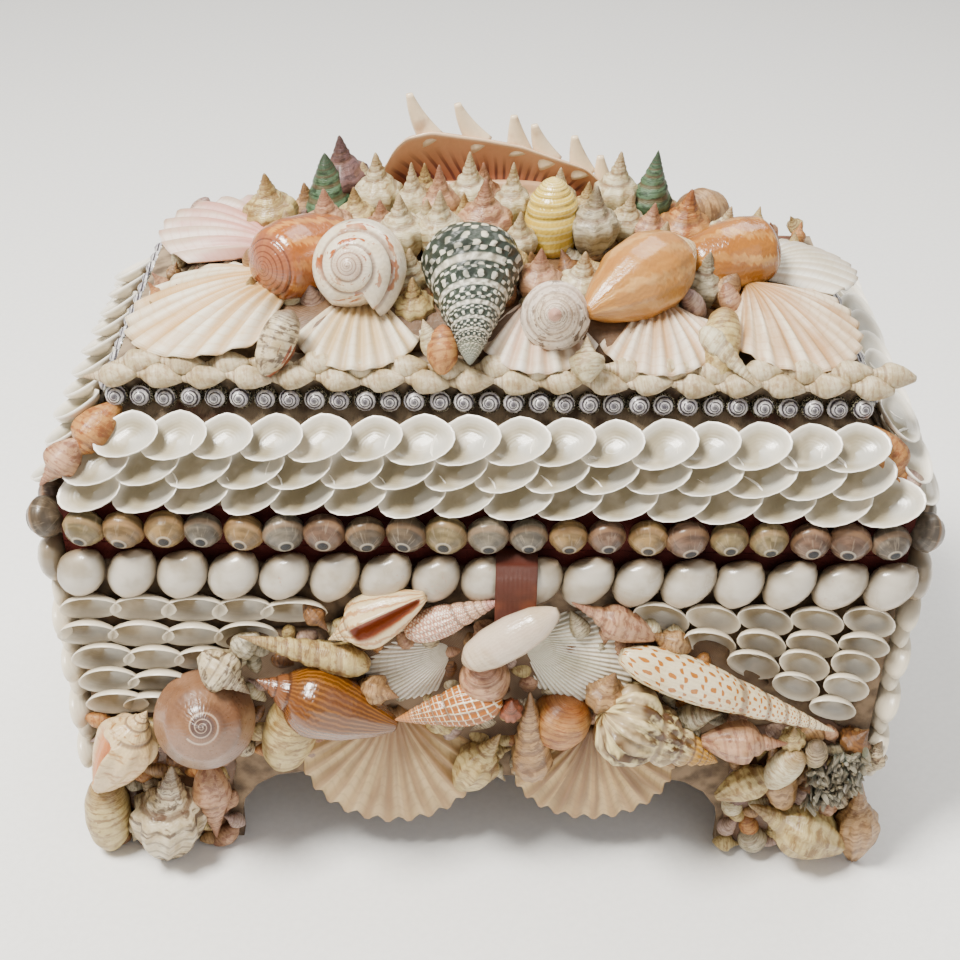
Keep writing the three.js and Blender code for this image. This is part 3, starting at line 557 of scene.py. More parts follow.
def glossyEggLook():
    look = Look("egg_cowrie_white", {"Coat Weight": 0.5, "Coat Roughness": 0.1, "Specular IOR Level": 0.5})
    around, along = look.layer("lay")
    cloud = look.noise(70.0, 3.0)
    pick = look.mark("pick", 2)
    colour = look.mix(cloud.ease(0.35, 0.7), tint("c0b7a8"), tint("9c8f7a"))
    # Painted shade: each cowrie darkens away from the middle of its face, towards its sides
    front = (around + 0.25).wave().ease(-1.0, -0.15)
    colour = look.mix(front * 0.9, colour, tint("6e5f48"))
    # Painted shade: both ends darken, most of all the lower half
    ends = (1 - along.ease(0.0, 0.14)) + along.ease(0.5, 1.0)
    colour = look.mix(ends * 0.5, colour, tint("a58e72"))
    pits = look.noise(700.0, 2.0).ease(0.62, 0.72) * look.noise(90.0, 1.0).ease(0.55, 0.7)
    colour = look.mix(pits * 0.6, colour, tint("b98f7a"))
    return look.done(colour, rough=0.2 + pick * 0.14 + cloud * 0.12, height=cloud * 0.8 - pits, depth=0.0006,
                     strength=0.4)


def rimSnailLook():
    look = Look("rim_snail_brown", {"Coat Weight": 0.15, "Coat Roughness": 0.2, "Specular IOR Level": 0.35})
    around, along = look.layer("lay")
    phase, _ = look.layer("turn")
    tone = look.mark("tone")
    pick = look.mark("pick", 2)
    clouds = look.noise(1.0, 3.0, look.point(around * 5.0, along * 7.0, pick * 30.0))
    colour = look.mix(clouds.ease(0.3, 0.65), tone, look.shade(tone, 0.45))
    streak = look.noise(1.0, 2.0, look.point(around * 34.0, along * 3.0, pick * 9.0)).ease(0.55, 0.7)
    colour = look.mix(streak * 0.14, colour, tint("c9b49a"))
    band = along.ease(0.3, 0.36) * (1 - along.ease(0.44, 0.5))
    colour = look.mix(band * 0.18, colour, tint("b98a5c"))
    eye = 1 - along.ease(0.03, 0.042)
    colour = look.mix(eye * 0.9, colour, look.mix(phase.wave().ease(0.0, 1.0), tint("0e1014"),
                                                  tint("2c323a")))
    pale = along.ease(0.038, 0.046) * (1 - along.ease(0.055, 0.068))
    colour = look.mix(pale * 0.5, colour, tint("b8ad9a"))
    rough = 0.22 + clouds * 0.2 + eye * 0.4
    return look.done(colour, rough=rough, height=streak + look.noise(1200.0, 1.0), depth=0.0002,
                     strength=0.3)


def buttonLook():
    look = Look("button_top_silver", {"Coat Weight": 0.45, "Coat Roughness": 0.12, "Metallic": 0.1})
    around, along = look.layer("lay")
    phase, _ = look.layer("turn")
    pick = look.mark("pick", 2)
    spiral = phase.wave()
    face = 1 - along.ease(0.3, 0.5)
    silver = look.mix(look.noise(500.0, 2.0).ease(0.3, 0.7), tint("dcd8d4"), tint("a09aa2"))
    silver = look.mix(spiral.ease(0.1, 0.6) * 0.95, silver, tint("2a242c"))
    silver = look.mix((1 - along.ease(0.02, 0.06)) * 0.8, silver, tint("2b2530"))
    speck = look.noise(1500.0, 2.0).ease(0.52, 0.58)
    dark = look.mix(speck, tint("26241d"), tint("a39c82"))
    shift = (face + pick * 0.5 - 0.25 + look.noise(400.0, 1.0) * 0.4 - 0.2).ease(0.3, 0.6)
    colour = look.mix(shift, dark, silver)
    return look.done(colour, rough=0.22 + speck * 0.15, height=spiral * -0.4 + speck * 0.3, depth=0.0004,
                     strength=0.5)


# Cloth, with a zone between two heights that is smeared with glue, its brown partly painted shade
def clothLook(name, base, dark, thread, glue="8a745c", zone=(2.0, 3.0)):
    look = Look(name, {"Specular IOR Level": 0.25})
    x, y, z = (look.node("SeparateXYZ", None, {0: look.place()}, i) for i in range(3))
    weave = (x + y).wave(900.0) * z.wave(900.0)
    wear = look.noise(40.0, 4.0)
    colour = look.mix(wear.ease(0.3, 0.75), tint(base), tint(dark))
    colour = look.mix(weave.ease(0.3, 1.0) * 0.35, colour, tint(thread))
    # Glue, whose brown also serves as painted shade between the clams
    glueAndShadeSmear = look.mix(look.noise(120.0, 4.0).ease(0.35, 0.7), tint(glue), tint("57483a"))
    inZone = z.ease(zone[0] - 0.002, zone[0]) * (1 - z.ease(zone[1], zone[1] + 0.002))
    colour = look.mix(inZone * wear.ease(0.2, 0.4), colour, glueAndShadeSmear)
    return look.done(colour, rough=0.75 + wear * 0.2, height=weave * 0.5 + wear, depth=0.0002)


def ribbonLook():
    look = Look("ribbon_copper", {"Specular IOR Level": 0.35})
    around, along = look.layer("lay")
    thread = along.wave(150.0)
    foldSheen = look.noise(60.0, 2.0)
    colour = look.mix(thread.ease(-0.6, 1.0), tint("3e180c"), tint("602a18"))
    # Painted sheen: lighter copper patches where the folds catch the light
    colour = look.mix(foldSheen.ease(0.45, 0.7) * 0.4, colour, tint("9a5230"))
    return look.done(colour, rough=0.38 + foldSheen * 0.2, height=thread * 0.5 + around.wave(60.0) * 0.3,
                     depth=0.0002)


# White and cream scallops. Their ribs, growth rings and the blush near the hinge follow the fan's own layers
def scallopLook(name, ribs):
    look = Look(name, {"Coat Weight": 0.12, "Coat Roughness": 0.3})
    sweep, reach = look.layer("turn")
    tone, accent = look.mark("tone"), look.mark("accent")
    amount = look.mark("accent", 3)
    pick = look.mark("pick", 2)
    wave = (sweep + 1.0).wave(ribs / 2)
    rings = (reach * (9.0 + pick * 4.0) + look.noise(50.0, 2.0) * 1.5).wave()
    # Painted shade: the grooves between the ribs are darkened
    colour = look.mix(wave.ease(-0.9, 0.6), look.darkenBy(tone, 0.8, (0.62, 0.5, 0.38)), tone)
    rays = look.noise(1.0, 2.0, look.point(sweep * 7.0, reach * 0.8, pick * 50.0)).ease(0.42, 0.6)
    colour = look.mix(rays * amount * 0.65 * (1 - reach.ease(0.75, 1.0) * 0.6), colour, accent)
    flames = look.noise(1.0, 3.0, look.point(sweep * 14.0, reach * 3.0, pick * 20.0))
    blush = (1 - reach.ease(0.1, 0.65)) * 0.75 + flames.ease(0.5, 0.7) * 0.35
    colour = look.mix(blush * amount, colour, accent)
    colour = look.mix(rings.ease(0.6, 1.0) * 0.22, colour, look.mix(amount * 0.8, tint("b9a58a"), accent))
    fine = look.noise(500.0, 3.0)
    colour = look.shade(colour, 0.93 + fine * 0.12)
    colour = look.darkenBy(colour, look.noise(45.0, 3.0).ease(0.45, 0.7) * 0.4 + 0.3, (0.75, 0.71, 0.55))
    lines = (reach.wave(70.0) * 0.2) + wave * 0.4 + fine * 0.5
    return look.done(colour, rough=0.42 + fine * 0.2, height=lines, depth=0.0003, strength=0.45)


# Large shells, each with its own colours. A pattern is laid over the base by turns round the shell and along
# its whorls, and a blush covers the spire or the mouth
def shellLook(name, base, second, pattern="flames", counts=(8.0, 3.0), cut=(0.5, 0.6), amount=1.0,
              spire=None, spireEnd=0.3, mouth=None, relief=0.0, rough=0.3, coat=0.3, suture="6a4c3a",
              third=None, bump=0.4):
    look = Look(name, {"Coat Weight": coat, "Coat Roughness": 0.15})
    around, along = look.layer("lay")
    phase, opening = look.layer("turn")
    warp = look.noise(1.0, 2.0, look.point(around * 7.0, phase * 4.0))
    if pattern == "flames":
        field = look.noise(1.0, 3.0, look.point(around * counts[0], phase * counts[1], 3.0), 0.6)
    elif pattern == "dots":
        rowShift = phase * counts[1]
        field = (around * counts[0] + rowShift.maths("FLOOR") * 0.5
                 + warp * 0.6).wave() * rowShift.wave() * -1
        field = field + warp * 0.6
    elif pattern == "bands":
        field = (phase * counts[1] + warp * 0.3).wave()
    elif pattern == "axial":
        field = (around * counts[0] + along * 1.5 + warp * 0.8).wave()
    else:
        field = (around * counts[0] + warp * 0.3).wave().maths("MAXIMUM", (phase * counts[1]).wave())
    colour = look.mix(field.ease(*cut) * amount, tint(base), tint(second))
    if third:
        veil = look.noise(70.0, 2.0).ease(0.42, 0.65)
        colour = look.mix(veil * 0.6, colour, tint(third))
    if spire:
        colour = look.mix((1 - along.ease(spireEnd * 0.6, spireEnd)) * 0.85, colour, tint(spire))
    edge = phase.wave().ease(0.5, 1.0) * (1 - phase.ease(1.08, 1.25))
    colour = look.mix(edge * 0.7, colour, tint(suture))
    if mouth:
        colour = look.mix(opening.ease(0.05, 0.5), colour, tint(mouth))
    growth = growthLines(look, around, along, 34.0)
    fine = look.noise(700.0, 3.0)
    colour = look.shade(colour, 0.9 + fine * 0.1 + growth * 0.035)
    colour = look.darkenBy(colour, look.noise(60.0, 3.0, None, 0.6).ease(0.45, 0.7) * 0.45 + 0.12,
                        (0.72, 0.63, 0.44))
    raised = field * relief if relief else fine * 0.2
    lines = growth * 0.3 + fine * 0.4 + raised
    return look.done(colour, rough=rough * 0.8 + fine * 0.15, height=lines, depth=0.0003, strength=bump)


cloth = ("5a1f18", "2f0f0c", "7b3026")
carcaseLooks = {
    "base_carcase": clothLook("base_cloth", *cloth, "8a745c", (-0.02, 0.166)),
    "lid_carcase": clothLook("lid_cloth", *cloth, "95826a", (0.197, 2.0)),
}
for node, look in carcaseLooks.items():
    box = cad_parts[node]
    box.data.materials.clear()
    box.data.materials.append(look)
print("carcases dressed")


# Rows that run round the box. Their values are the pitch along the wall, how far out of it and how high the
# middles of the shells lie, and their sizes
def spread(length, pitch):
    count = max(1, round(length / pitch))
    return (np.arange(count) + 0.5) / count * length - length / 2


def jitter(size):
    return dice.uniform(-size, size)


# Brown moon snails on the rim of the lid, their eyes up and out
rimSnails = {
    "pitch": 16.7, "out": 6.3, "height": 187.4, "wide": 17.4, "halfLength": 7.6, "lengthenSides": 13,
    "tones": ["7b6348", "6c6356", "82714f", "5c4e3e", "8a6f48", "746a5a", "6b5242", "856a46", "655a4e"],
    "look": rimSnailLook(),
}


def makeRimSnails(side, length, isLong):
    pile = Pile()
    for x in spread(length - 5 if isLong else length + rimSnails["lengthenSides"], rimSnails["pitch"]):
        grow = 1 + jitter(0.07)
        middle = np.array([x + jitter(0.6), rimSnails["out"], rimSnails["height"] + jitter(0.5)])
        down = unit((jitter(0.25), 0.94, -0.3 + jitter(0.12)))
        start = middle + down * rimSnails["halfLength"] * grow
        end = middle - down * rimSnails["halfLength"]
        tone = tint(rimSnails["tones"][dice.integers(len(rimSnails["tones"]))], 0)
        snail(pile, "moon", onWall(*start, side), onWall(*end, side), rimSnails["wide"] * grow,
              spin=dice.uniform(0, 360), rows=18, sides=18, tone=tone, bulge=0.06)
    pile.dress(f"rim_snails_{side}", rimSnails["look"])


# White cowries along the top of the base, each a closed egg with a short beak
eggCowries = {
    "pitch": 20.6, "out": 6.2, "height": 164.3, "tall": 24.5, "broad": 21.6, "halfDepth": 6.7, "lean": 0.2,
    "beak": 1.8, "lengthenFront": 7, "lengthenSides": 13, "look": glossyEggLook(),
    "line": [(0, 0.1), (0.05, 0.5), (0.16, 0.84), (0.38, 1), (0.6, 0.97), (0.8, 0.76), (0.92, 0.46),
             (1, 0.2)],
}


def makeEggCowries(side, length, isLong):
    pile = Pile()
    longer = eggCowries["lengthenFront"] if isLong else eggCowries["lengthenSides"]
    t = np.linspace(0, 1, 17)[:, None]
    a = 2 * math.pi * np.arange(18)[None, :] / 18
    profile = softLine(t, eggCowries["line"], 0.06)
    beak = np.exp(-((t - 0.05) / 0.05) ** 2) * eggCowries["beak"]
    for x in spread(length + longer, eggCowries["pitch"]):
        tall, broad = eggCowries["tall"] * (1 + jitter(0.04)), eggCowries["broad"] * (1 + jitter(0.05))
        lean = eggCowries["lean"] + jitter(0.08)
        px = profile * np.cos(a) * broad / 2 + beak
        py = eggCowries["out"] + profile * np.sin(a) * eggCowries["halfDepth"]
        pz = (0.5 - t) * tall + 0 * a
        pile.add(onWall(x + px + pz * lean, py, eggCowries["height"] + pz, side))
    pile.dress(f"egg_cowries_{side}", eggCowries["look"])


# Silver-grey button tops under the roof
buttonTops = {
    "pitch": 10.1, "setback": 24, "shorten": 48, "top": (8.2, 236.6), "foot": (0.4, 233.8), "wide": 10.2,
    "look": buttonLook(),
    "line": [(0, 0.05), (0.1, 0.42), (0.3, 0.74), (0.55, 0.96), (0.78, 1), (0.92, 0.86), (1, 0.35)],
}


def makeButtonTops(side, length, isLong):
    pile = Pile()
    face = walls[side][1] - buttonTops["setback"]
    for x in spread(length - buttonTops["shorten"] + (9 if isLong else 0), buttonTops["pitch"]):
        start = (x + jitter(0.4), buttonTops["top"][0], buttonTops["top"][1] + jitter(0.4))
        end = (x, *buttonTops["foot"])
        start, end = onWall(*start, side, face), onWall(*end, side, face)
        snail(pile, "turban", start, end, buttonTops["wide"], spin=dice.uniform(0, 360), rows=11, sides=12,
              grow=2.6, cords=0, bulge=0.16, line=buttonTops["line"])
    pile.dress(f"button_tops_{side}", buttonTops["look"])


# On the lid the clams lie on the slope, each row over the one below. Levels: way up the slope and the part of
# half the wall's length that the row leaves free
lidClams = {
    "size": (28.0, 20.0), "depth": 4.7, "levels": ((3.8, 14.5), (14.4, 21), (25.2, 29)), "counts": (16, 8),
    "slope": (0.577, 0.817), "slopeAngle": 0.61, "slopeFoot": 196.3, "out": 4.0, "outPerLevel": 2.6,
    "tip": 0.44, "aside": -0.22, "lean": 20,
    "look": pearlLook("lid_clam_pearl", "fbf5e8", "aba086", "857a60", 0.4),
}


def clam(pile, values, spot, normal, upward, side, lean, leanSpread, hinge):
    normal, upward = turned(normal, side), turned(upward, side)
    grow = 1 + jitter(0.06)
    size = (values["size"][0] * grow, values["size"][1] * grow)
    lean = lean + jitter(leanSpread)
    dish(pile, onWall(*spot, side), normal, upward, size, values["depth"], lean, hinge)


def makeLidClams(side, length, isLong):
    pile = Pile()
    count = lidClams["counts"][0 if isLong else 1]
    inward, upward = lidClams["slope"]
    for level, (up, free) in enumerate(lidClams["levels"]):
        reach = length / 2 - free
        shift = (0.2 - 0.5 * (level == 1)) * 9
        out = lidClams["out"] + level * lidClams["outPerLevel"]
        for i in range(count):
            x = -reach + 2 * reach * i / (count - 1) + shift + jitter(0.8)
            spot = (x, upward * out - inward * up, lidClams["slopeFoot"] + upward * up + inward * out)
            tilt = lidClams["slopeAngle"] + lidClams["tip"] + jitter(0.05)
            normal = (lidClams["aside"] + jitter(0.05), -math.cos(tilt), math.sin(tilt))
            clam(pile, lidClams, spot, normal, (0, inward, upward), side, lidClams["lean"], 6, 0.14)
    pile.dress(f"lid_clams_{side}", lidClams["look"])


for side, (_, _, length) in walls.items():
    for makeRow in (makeRimSnails, makeEggCowries, makeButtonTops, makeLidClams):
        makeRow(side, length, side in ("front", "back"))
print("rows round the box made")

# Clams on the base lean out at their tops. Rows on the front grow shorter downwards: each is given by its
# height, where its clams lie and their lean
baseClams = {
    "size": (28.0, 18.0), "depth": 5.0, "out": 2.4, "tip": 0.36,
    "pitch": 22.6, "rows": 8, "top": 147.5, "drop": 13,
    "look": pearlLook("base_clam_pearl", "efe4cf", "9a8a6e", "6e5f47", 0.2),
    "left": [(147.5, (-167, -144.6, -123, -102.5, -81), 14), (133, (-170, -147, -125, -102), 12),
             (119.5, (-165, -143, -121), 12), (106, (-164, -142), 12), (93, (-162, -146), 14)],
    "right": [(147, (75, 97, 119, 141, 163), -38), (134, (97, 119, 141, 163), -44),
              (122, (117, 139, 161), -46), (109.5, (137, 159), -48), (97, (155,), -46)],
}


def baseClam(pile, x, z, side, lean):
    tip = baseClams["tip"] + jitter(0.1)
    normal, upward = (0, -math.cos(tip), -math.sin(tip)), (0, -math.sin(tip), math.cos(tip))
    clam(pile, baseClams, (x, baseClams["out"], z), normal, upward, side, lean, 4, 0.0)


for hand in ("left", "right"):
    pile = Pile()
    for z, places, lean in baseClams[hand]:
        for x in places:
            baseClam(pile, x, z, "front", lean)
    pile.dress(f"base_clams_front_{hand}", baseClams["look"])
for side in ("right", "back", "left"):
    pile = Pile()
    half = walls[side][2] / 2 - (13 if side == "back" else 8)
    count = round(2 * half / baseClams["pitch"])
    for row in range(baseClams["rows"]):
        z = baseClams["top"] - row * baseClams["drop"]
        shift = 2.75 if row % 2 else -2.75
        for i in range(count + 1):
            baseClam(pile, -half + 2 * half * i / count + shift, z, side, 5)
    pile.dress(f"base_clams_{side}", baseClams["look"])
print("clams on the base made")

# The pull tab, a ribbon that comes from under the lid and hangs over the row of cowries
tab = {
    "x": 12.5, "wide": 17.2, "thick": 0.9, "ripple": 0.3,
    "path": [(-100.4, 177.2), (-107, 177.9), (-112, 177.0), (-114.6, 172), (-115.0, 164), (-114.6, 155),
             (-114.9, 146)],
}
path = np.array(tab["path"])
fine = np.linspace(0, len(path) - 1, 30)
py, pz = (np.interp(fine, np.arange(len(path)), path[:, k]) for k in (0, 1))
py[3:-3] += tab["ripple"] * np.sin(fine[3:-3] * 3)
a = 2 * math.pi * np.arange(20) / 20
flatten = np.sign(np.cos(a)) * np.abs(np.cos(a)) ** 0.35
tangent = np.stack([np.gradient(py), np.gradient(pz)], -1)
tangent /= np.linalg.norm(tangent, axis=1, keepdims=True)
through = np.sin(a) * tab["thick"] / 2
rings = np.stack([
    tab["x"] + flatten[None, :] * tab["wide"] / 2 + 0 * py[:, None],
    py[:, None] - tangent[:, 1:] * through, pz[:, None] + tangent[:, :1] * through], -1)
pile = Pile()
pile.add(rings)
pile.dress("pull_tab", ribbonLook())
print("pull tab made")

# Large shells of the roof and of the front, from apex to base, with their looks. A mouth is given by where it
# begins and ends, its depth, its reach in degrees and the flare of its lip
bluntOlive = [(0, 0.12), (0.015, 0.35), (0.05, 0.62), (0.12, 0.86), (0.3, 1), (0.55, 0.98), (0.8, 0.8),
              (0.95, 0.42), (1, 0.2)]
bigShells = {
    "dark_turban": dict(
        slot="dark_shell", kind="turban", start=(-8, -88, 257), end=(-8, -30, 283), wide=41, spin=40,
        shape=dict(body=0.5, grow=1.33, bulge=0.1, cordCount=2),
        look=dict(base="2c362c", second="d9d6c6", pattern="dots", counts=(17.0, 1.5), cut=(0.45, 0.75),
                  spire="8f9484", spireEnd=0.16, relief=2.2, rough=0.45, coat=0.15, suture="d8d2c2",
                  third="1d241e", bump=0.8)),
    "spotted_whelk": dict(
        slot="spotted_shell", kind="moon", start=(-57, -66, 288), end=(-50, -28, 268), wide=38, spin=-60,
        shape=dict(body=0.16, grow=2.1, bulge=0.16,
                   line=[(0, 0.06), (0.05, 0.26), (0.13, 0.5), (0.17, 0.62), (0.3, 0.9), (0.5, 1),
                         (0.8, 0.84), (1, 0.4)]),
        mouth=(0.15, 0.98, 0.2, 60, 0.16),
        look=dict(base="e8dcc8", second="a4541a", counts=(8.0, 2.2), cut=(0.56, 0.6), rough=0.22, coat=0.5,
                  spire="c4ac98", spireEnd=0.1, third="dccbb0", suture="7a5440")),
    "speckled_top": dict(
        slot="spotted_shell", kind="turban", start=(24, -90, 281), end=(26, -60, 264), wide=28,
        shape=dict(body=0.5, grow=1.5, bulge=0.1, cords=0.01, cordCount=3),
        look=dict(base="dccfc0", second="5c4636", counts=(14.0, 3.4), cut=(0.54, 0.58), amount=0.9,
                  suture="a08a78", spire="c08878", spireEnd=0.12, rough=0.4, coat=0.15, third="cdb8aa")),
    "melon_volute": dict(
        slot="orange_shell", kind="volute", start=(85, -23, 279), end=(38, -66, 269), wide=34, spin=200,
        shape=dict(knobs=0.015, knobCount=13),
        look=dict(base="b27a36", second="d6a766", pattern="axial", counts=(9.0, 1.0), cut=(0.0, 1.0),
                  amount=0.5, spire="e8d6b0", spireEnd=0.2, rough=0.3, coat=0.35, third="a86c2c",
                  suture="94703c")),
    "orange_olive_left": dict(
        slot="orange_shell", kind="olive", start=(-93, -48, 277), end=(-59, -6, 269), wide=34, spin=200,
        shape=dict(line=bluntOlive),
        look=dict(base="9c5616", second="d39448", pattern="axial", counts=(9.0, 1.0), cut=(0.2, 0.9),
                  amount=0.7, spire="94583c", spireEnd=0.12, rough=0.2, coat=0.6, third="8a4812",
                  suture="54240f")),
    "orange_olive_right": dict(
        slot="orange_shell", kind="olive", start=(121, -12, 275), end=(77, -27, 267), wide=31, spin=160,
        shape=dict(line=bluntOlive),
        look=dict(base="a4661c", second="d6a256", pattern="axial", counts=(8.0, 1.0), cut=(0.2, 0.9),
                  amount=0.7, spire="6b453c", spireEnd=0.1, rough=0.2, coat=0.6, third="8f5414",
                  suture="e8dccb")),
    "yellow_bulla": dict(
        slot="yellow_shell", kind="bulla", start=(26, 0, 298), end=(26, 0, 258), wide=24,
        shape=dict(bulge=0.08, body=0.28),
        look=dict(base="dcbc4c", second="eedc8c", pattern="bands", counts=(1.0, 2.6), cut=(0.3, 0.9),
                  spire="ead07c", spireEnd=0.14, rough=0.22, coat=0.5, third="c8a438", suture="a88c30")),
    "moon_snail": dict(
        slot="pink_shell", kind="moon", start=(-119, -134, 104), end=(-124, -98, 80), wide=44, spin=215,
        shape=dict(bulge=0.1, grow=2.3, body=0.03), mouth=(0.45, 0.98, 0.3, 70, 0.08),
        look=dict(base="7c563c", second="664530", counts=(3.0, 1.6), cut=(0.4, 0.7), spire="4c3634",
                  spireEnd=0.04, rough=0.28, coat=0.4, third="8e694e", suture="c9b09c")),
    "dog_conch": dict(
        slot="orange_shell", kind="conch", start=(-97, -119, 118), end=(-38, -119, 92), wide=32, spin=215,
        shape=dict(knobs=0.02, knobCount=10, bulge=0.1), bend=0.06,
        look=dict(base="5e3404", second="90591a", pattern="axial", counts=(38.0, 1.0), cut=(-0.4, 1.0),
                  amount=0.8, spire="7a4a2c", spireEnd=0.25, rough=0.2, coat=0.5, third="683608",
                  suture="381a0a")),
    "orange_mouthed_whelk": dict(
        slot="cream_shell", kind="conch", start=(-146, -117, 97), end=(-174, -116, 47), wide=27, spin=60,
        shape=dict(knobs=0.06, knobCount=9), mouth=(0.3, 0.96, 0.5, 80, 0.12),
        look=dict(base="d9bf92", second="a47640", counts=(8.0, 3.0), cut=(0.5, 0.66), mouth="c87420",
                  rough=0.4, coat=0.15, third="d8b88c")),
    "smooth_olive": dict(
        slot="white_shell", kind="olive", start=(-9, -121, 131), end=(30, -118, 158), wide=18, spin=180,
        shape=dict(bulge=0.03),
        look=dict(base="d4c2aa", second="b89e84", counts=(3.0, 2.0), cut=(0.45, 0.7), amount=0.6, rough=0.18,
                  coat=0.6, third="d8c2b0", suture="b08c78")),
    "open_conch": dict(
        slot="spotted_shell", kind="conch", start=(-66, -113, 136), end=(-25, -113, 161), wide=22, spin=35,
        shape=dict(knobs=0.06, knobCount=9), mouth=(0.24, 0.98, 0.55, 60, 0.22),
        look=dict(base="e0c89c", second="aa661e", pattern="axial", counts=(12.0, 3.0), cut=(0.3, 0.9),
                  amount=0.7, mouth="8e3c0a")),
    "pink_mitre": dict(
        slot="pink_shell", kind="mitre", start=(7, -113, 159), end=(-33, -112, 140), wide=14,
        shape=dict(ribs=0.03, ribCount=14),
        look=dict(base="b98670", second="ecdcc8", pattern="dots", counts=(14.0, 4.0), cut=(0.3, 0.8),
                  spire="b07a76", spireEnd=0.2, rough=0.4, coat=0.15)),
    "banded_mitre": dict(
        slot="orange_shell", kind="mitre", start=(-38, -121, 98), end=(8, -118, 110), wide=18,
        shape=dict(ribs=0.03, ribCount=15),
        look=dict(base="a8621e", second="ead8b8", pattern="grid", counts=(14.0, 3.0), cut=(0.72, 0.95),
                  spire="c07c3c", spireEnd=0.2, rough=0.32, coat=0.3)),
    "striped_turban": dict(
        slot="spotted_shell", kind="turban", start=(104, -121, 76), end=(52, -119, 103), wide=34,
        shape=dict(body=0.45, grow=1.5, bulge=0.14, cords=0.008, cordCount=4, knobs=0.05, knobCount=16,
                   ribs=0.09, ribCount=16),
        look=dict(base="dccb96", second="54360f", counts=(18.0, 1.4), cut=(0.42, 0.54), spire="b8841c",
                  spireEnd=0.36, rough=0.42, coat=0.2, third="d9c39a")),
    "spotted_mitre": dict(
        slot="spotted_shell", kind="mitre", start=(154, -117, 92), end=(58, -116, 133), wide=19,
        shape=dict(bulge=0.07, cords=0.0),
        look=dict(base="e8d8b2", second="b06a10", pattern="dots", counts=(9.0, 2.3), cut=(0.6, 0.85),
                  spire="ead9b8", spireEnd=0.12, rough=0.25, coat=0.4)),
}
for name, shell in bigShells.items():
    pile = Pile()
    snail(pile, shell["kind"], shell["start"], shell["end"], shell["wide"], spin=shell.get("spin", 0),
          rows=90, sides=72, mouth=shell.get("mouth"), bend=shell.get("bend", 0.0), **shell["shape"])
    pile.dress(name, shellLook(f"{name}_look", **shell["look"]))
print("large shells made")

# Scallops: node, hinge, middle of the rim, width, ribs, dome, colours of the shell and of its blush
white, cream = "e4dac8", "d2bc94"
pitchAtBack = 48
scallops = {
    "scallop_left_front": ((-82, -34, 263), (-149, -56, 249), 74, 12, 9, white, "c08a2c", 1.0),
    "scallop_left_back": ((-92, -6, 263), (-134, 44, 261), 72, 11, 9, "e8d9d4", "c47c74", 0.9),
    "scallop_front_left": ((-53, -38, 260), (-55, -83, 250), 52, 12, 7, white, "c4a060", 0.8),
    "scallop_front_middle": ((20, -38, 260), (19, -83, 250), 50, 12, 7, "ebe2d8", "c99a80", 0.8),
    "scallop_front_right": ((68, -38, 260), (68, -83, 250), 50, 12, 7, "e9dccd", "b4803a", 0.9),
    "scallop_right_front": ((106, -28, 262), (142, -72, 249), 62, 14, 8, "eddcc6", "a46c14", 1.0),
    "scallop_right_back": ((114, -18, 262), (150, 22, 253), 60, 13, 9, "f4f1ea", "ece6dc", 0.3),
}
for name, (hinge, rim, wide, ribs, dome, tone, blush, amount) in scallops.items():
    pile = Pile()
    fan(pile, hinge, rim, wide, ribs, dome, tint(tone, 0), tint(blush, amount))
    pile.dress(name, scallopLook(f"{name}_look", ribs))
pile = Pile()
for i in range(5):
    x = (i - 2) * pitchAtBack
    fan(pile, (x * 0.92, 30, 259), (x, 66, 249.5), 62, 14, 8, tint(cream, 0), tint("d8b494", 0.6))
pile.dress("back_scallops", scallopLook("back_scallop_look", 14))

# Ark shells: node, hinge, middle of the rim, width, ribs, colour
arks = {
    "ark_left": ((-12, -101, 128), (-50, -108, 108), 36, 26, "f4f0ea"),
    "ark_right": ((14, -101, 132), (64, -108, 112), 42, 28, "f2efe8"),
}
for name, (hinge, rim, wide, ribs, tone) in arks.items():
    pile = Pile()
    fan(pile, hinge, rim, wide, ribs, 7, tint(tone, 0), tint("b9c0a0", 0.25), facing=(0, -1, 0.2),
        ribDepth=0.35)
    pile.dress(name, scallopLook(f"{name}_look", ribs))

# The two scallops of the apron, given as the scallops of the roof
aprons = {
    "apron_scallop_left": ((-39, -104, 96), (-43, -108, 23), 82, 15, 9, "d4b98c", "805628", 1.0),
    "apron_scallop_right": ((49, -104, 86), (53, -108, 27), 74, 15, 8, "d0b282", "6c4420", 1.0),
}
for name, (hinge, rim, wide, ribs, dome, tone, blush, amount) in aprons.items():
    pile = Pile()
    fan(pile, hinge, rim, wide, ribs, dome, tint(tone, 0), tint(blush, amount), facing=(0, -1, 0), rows=30)
    pile.dress(name, scallopLook(f"{name}_look", ribs))
print("scallops made")

# The spider conch: its flared lip is a bent sheet with folds that fan out, and its hooks rise from the edge
conch = {
    "edge": [(-49, 284), (-44, 294), (-38, 300), (-27, 303), (-4, 300), (13, 297), (27, 292), (42, 287),
             (53, 277), (58, 266)],
    "bottom": 252,
    "front": 37,
    "swell": 5.5,
    "hub": (6, 236),
    "hooks": [((-27, 301), (-37, 319)), ((-5, 299), (-16, 315)), ((12, 296), (9, 310)),
              ((26, 291), (18, 306)), ((41, 286), (36, 301)), ((52, 276), (48, 292))],
}
pile = Pile()
ex, ez = np.transpose(conch["edge"])
xs = np.linspace(ex[0], ex[-1], 200)
topEdge = np.interp(xs, ex, ez)
topEdge = np.convolve(np.pad(topEdge, 4, "edge"), np.ones(9) / 9, "valid")
h = np.linspace(0, 1, 26)
xGrid, rise = np.meshgrid(xs, h, indexing="ij")
zGrid = conch["bottom"] + (topEdge[:, None] - conch["bottom"]) * rise
spoke = np.arctan2(xGrid - conch["hub"][0], zGrid - conch["hub"][1])
folds = np.cos(spoke * 78 + 1.2 * np.sin(spoke * 9))
yGrid = conch["front"] + conch["swell"] * np.sin(math.pi * rise ** 0.9) - 2.5 * rise ** 6
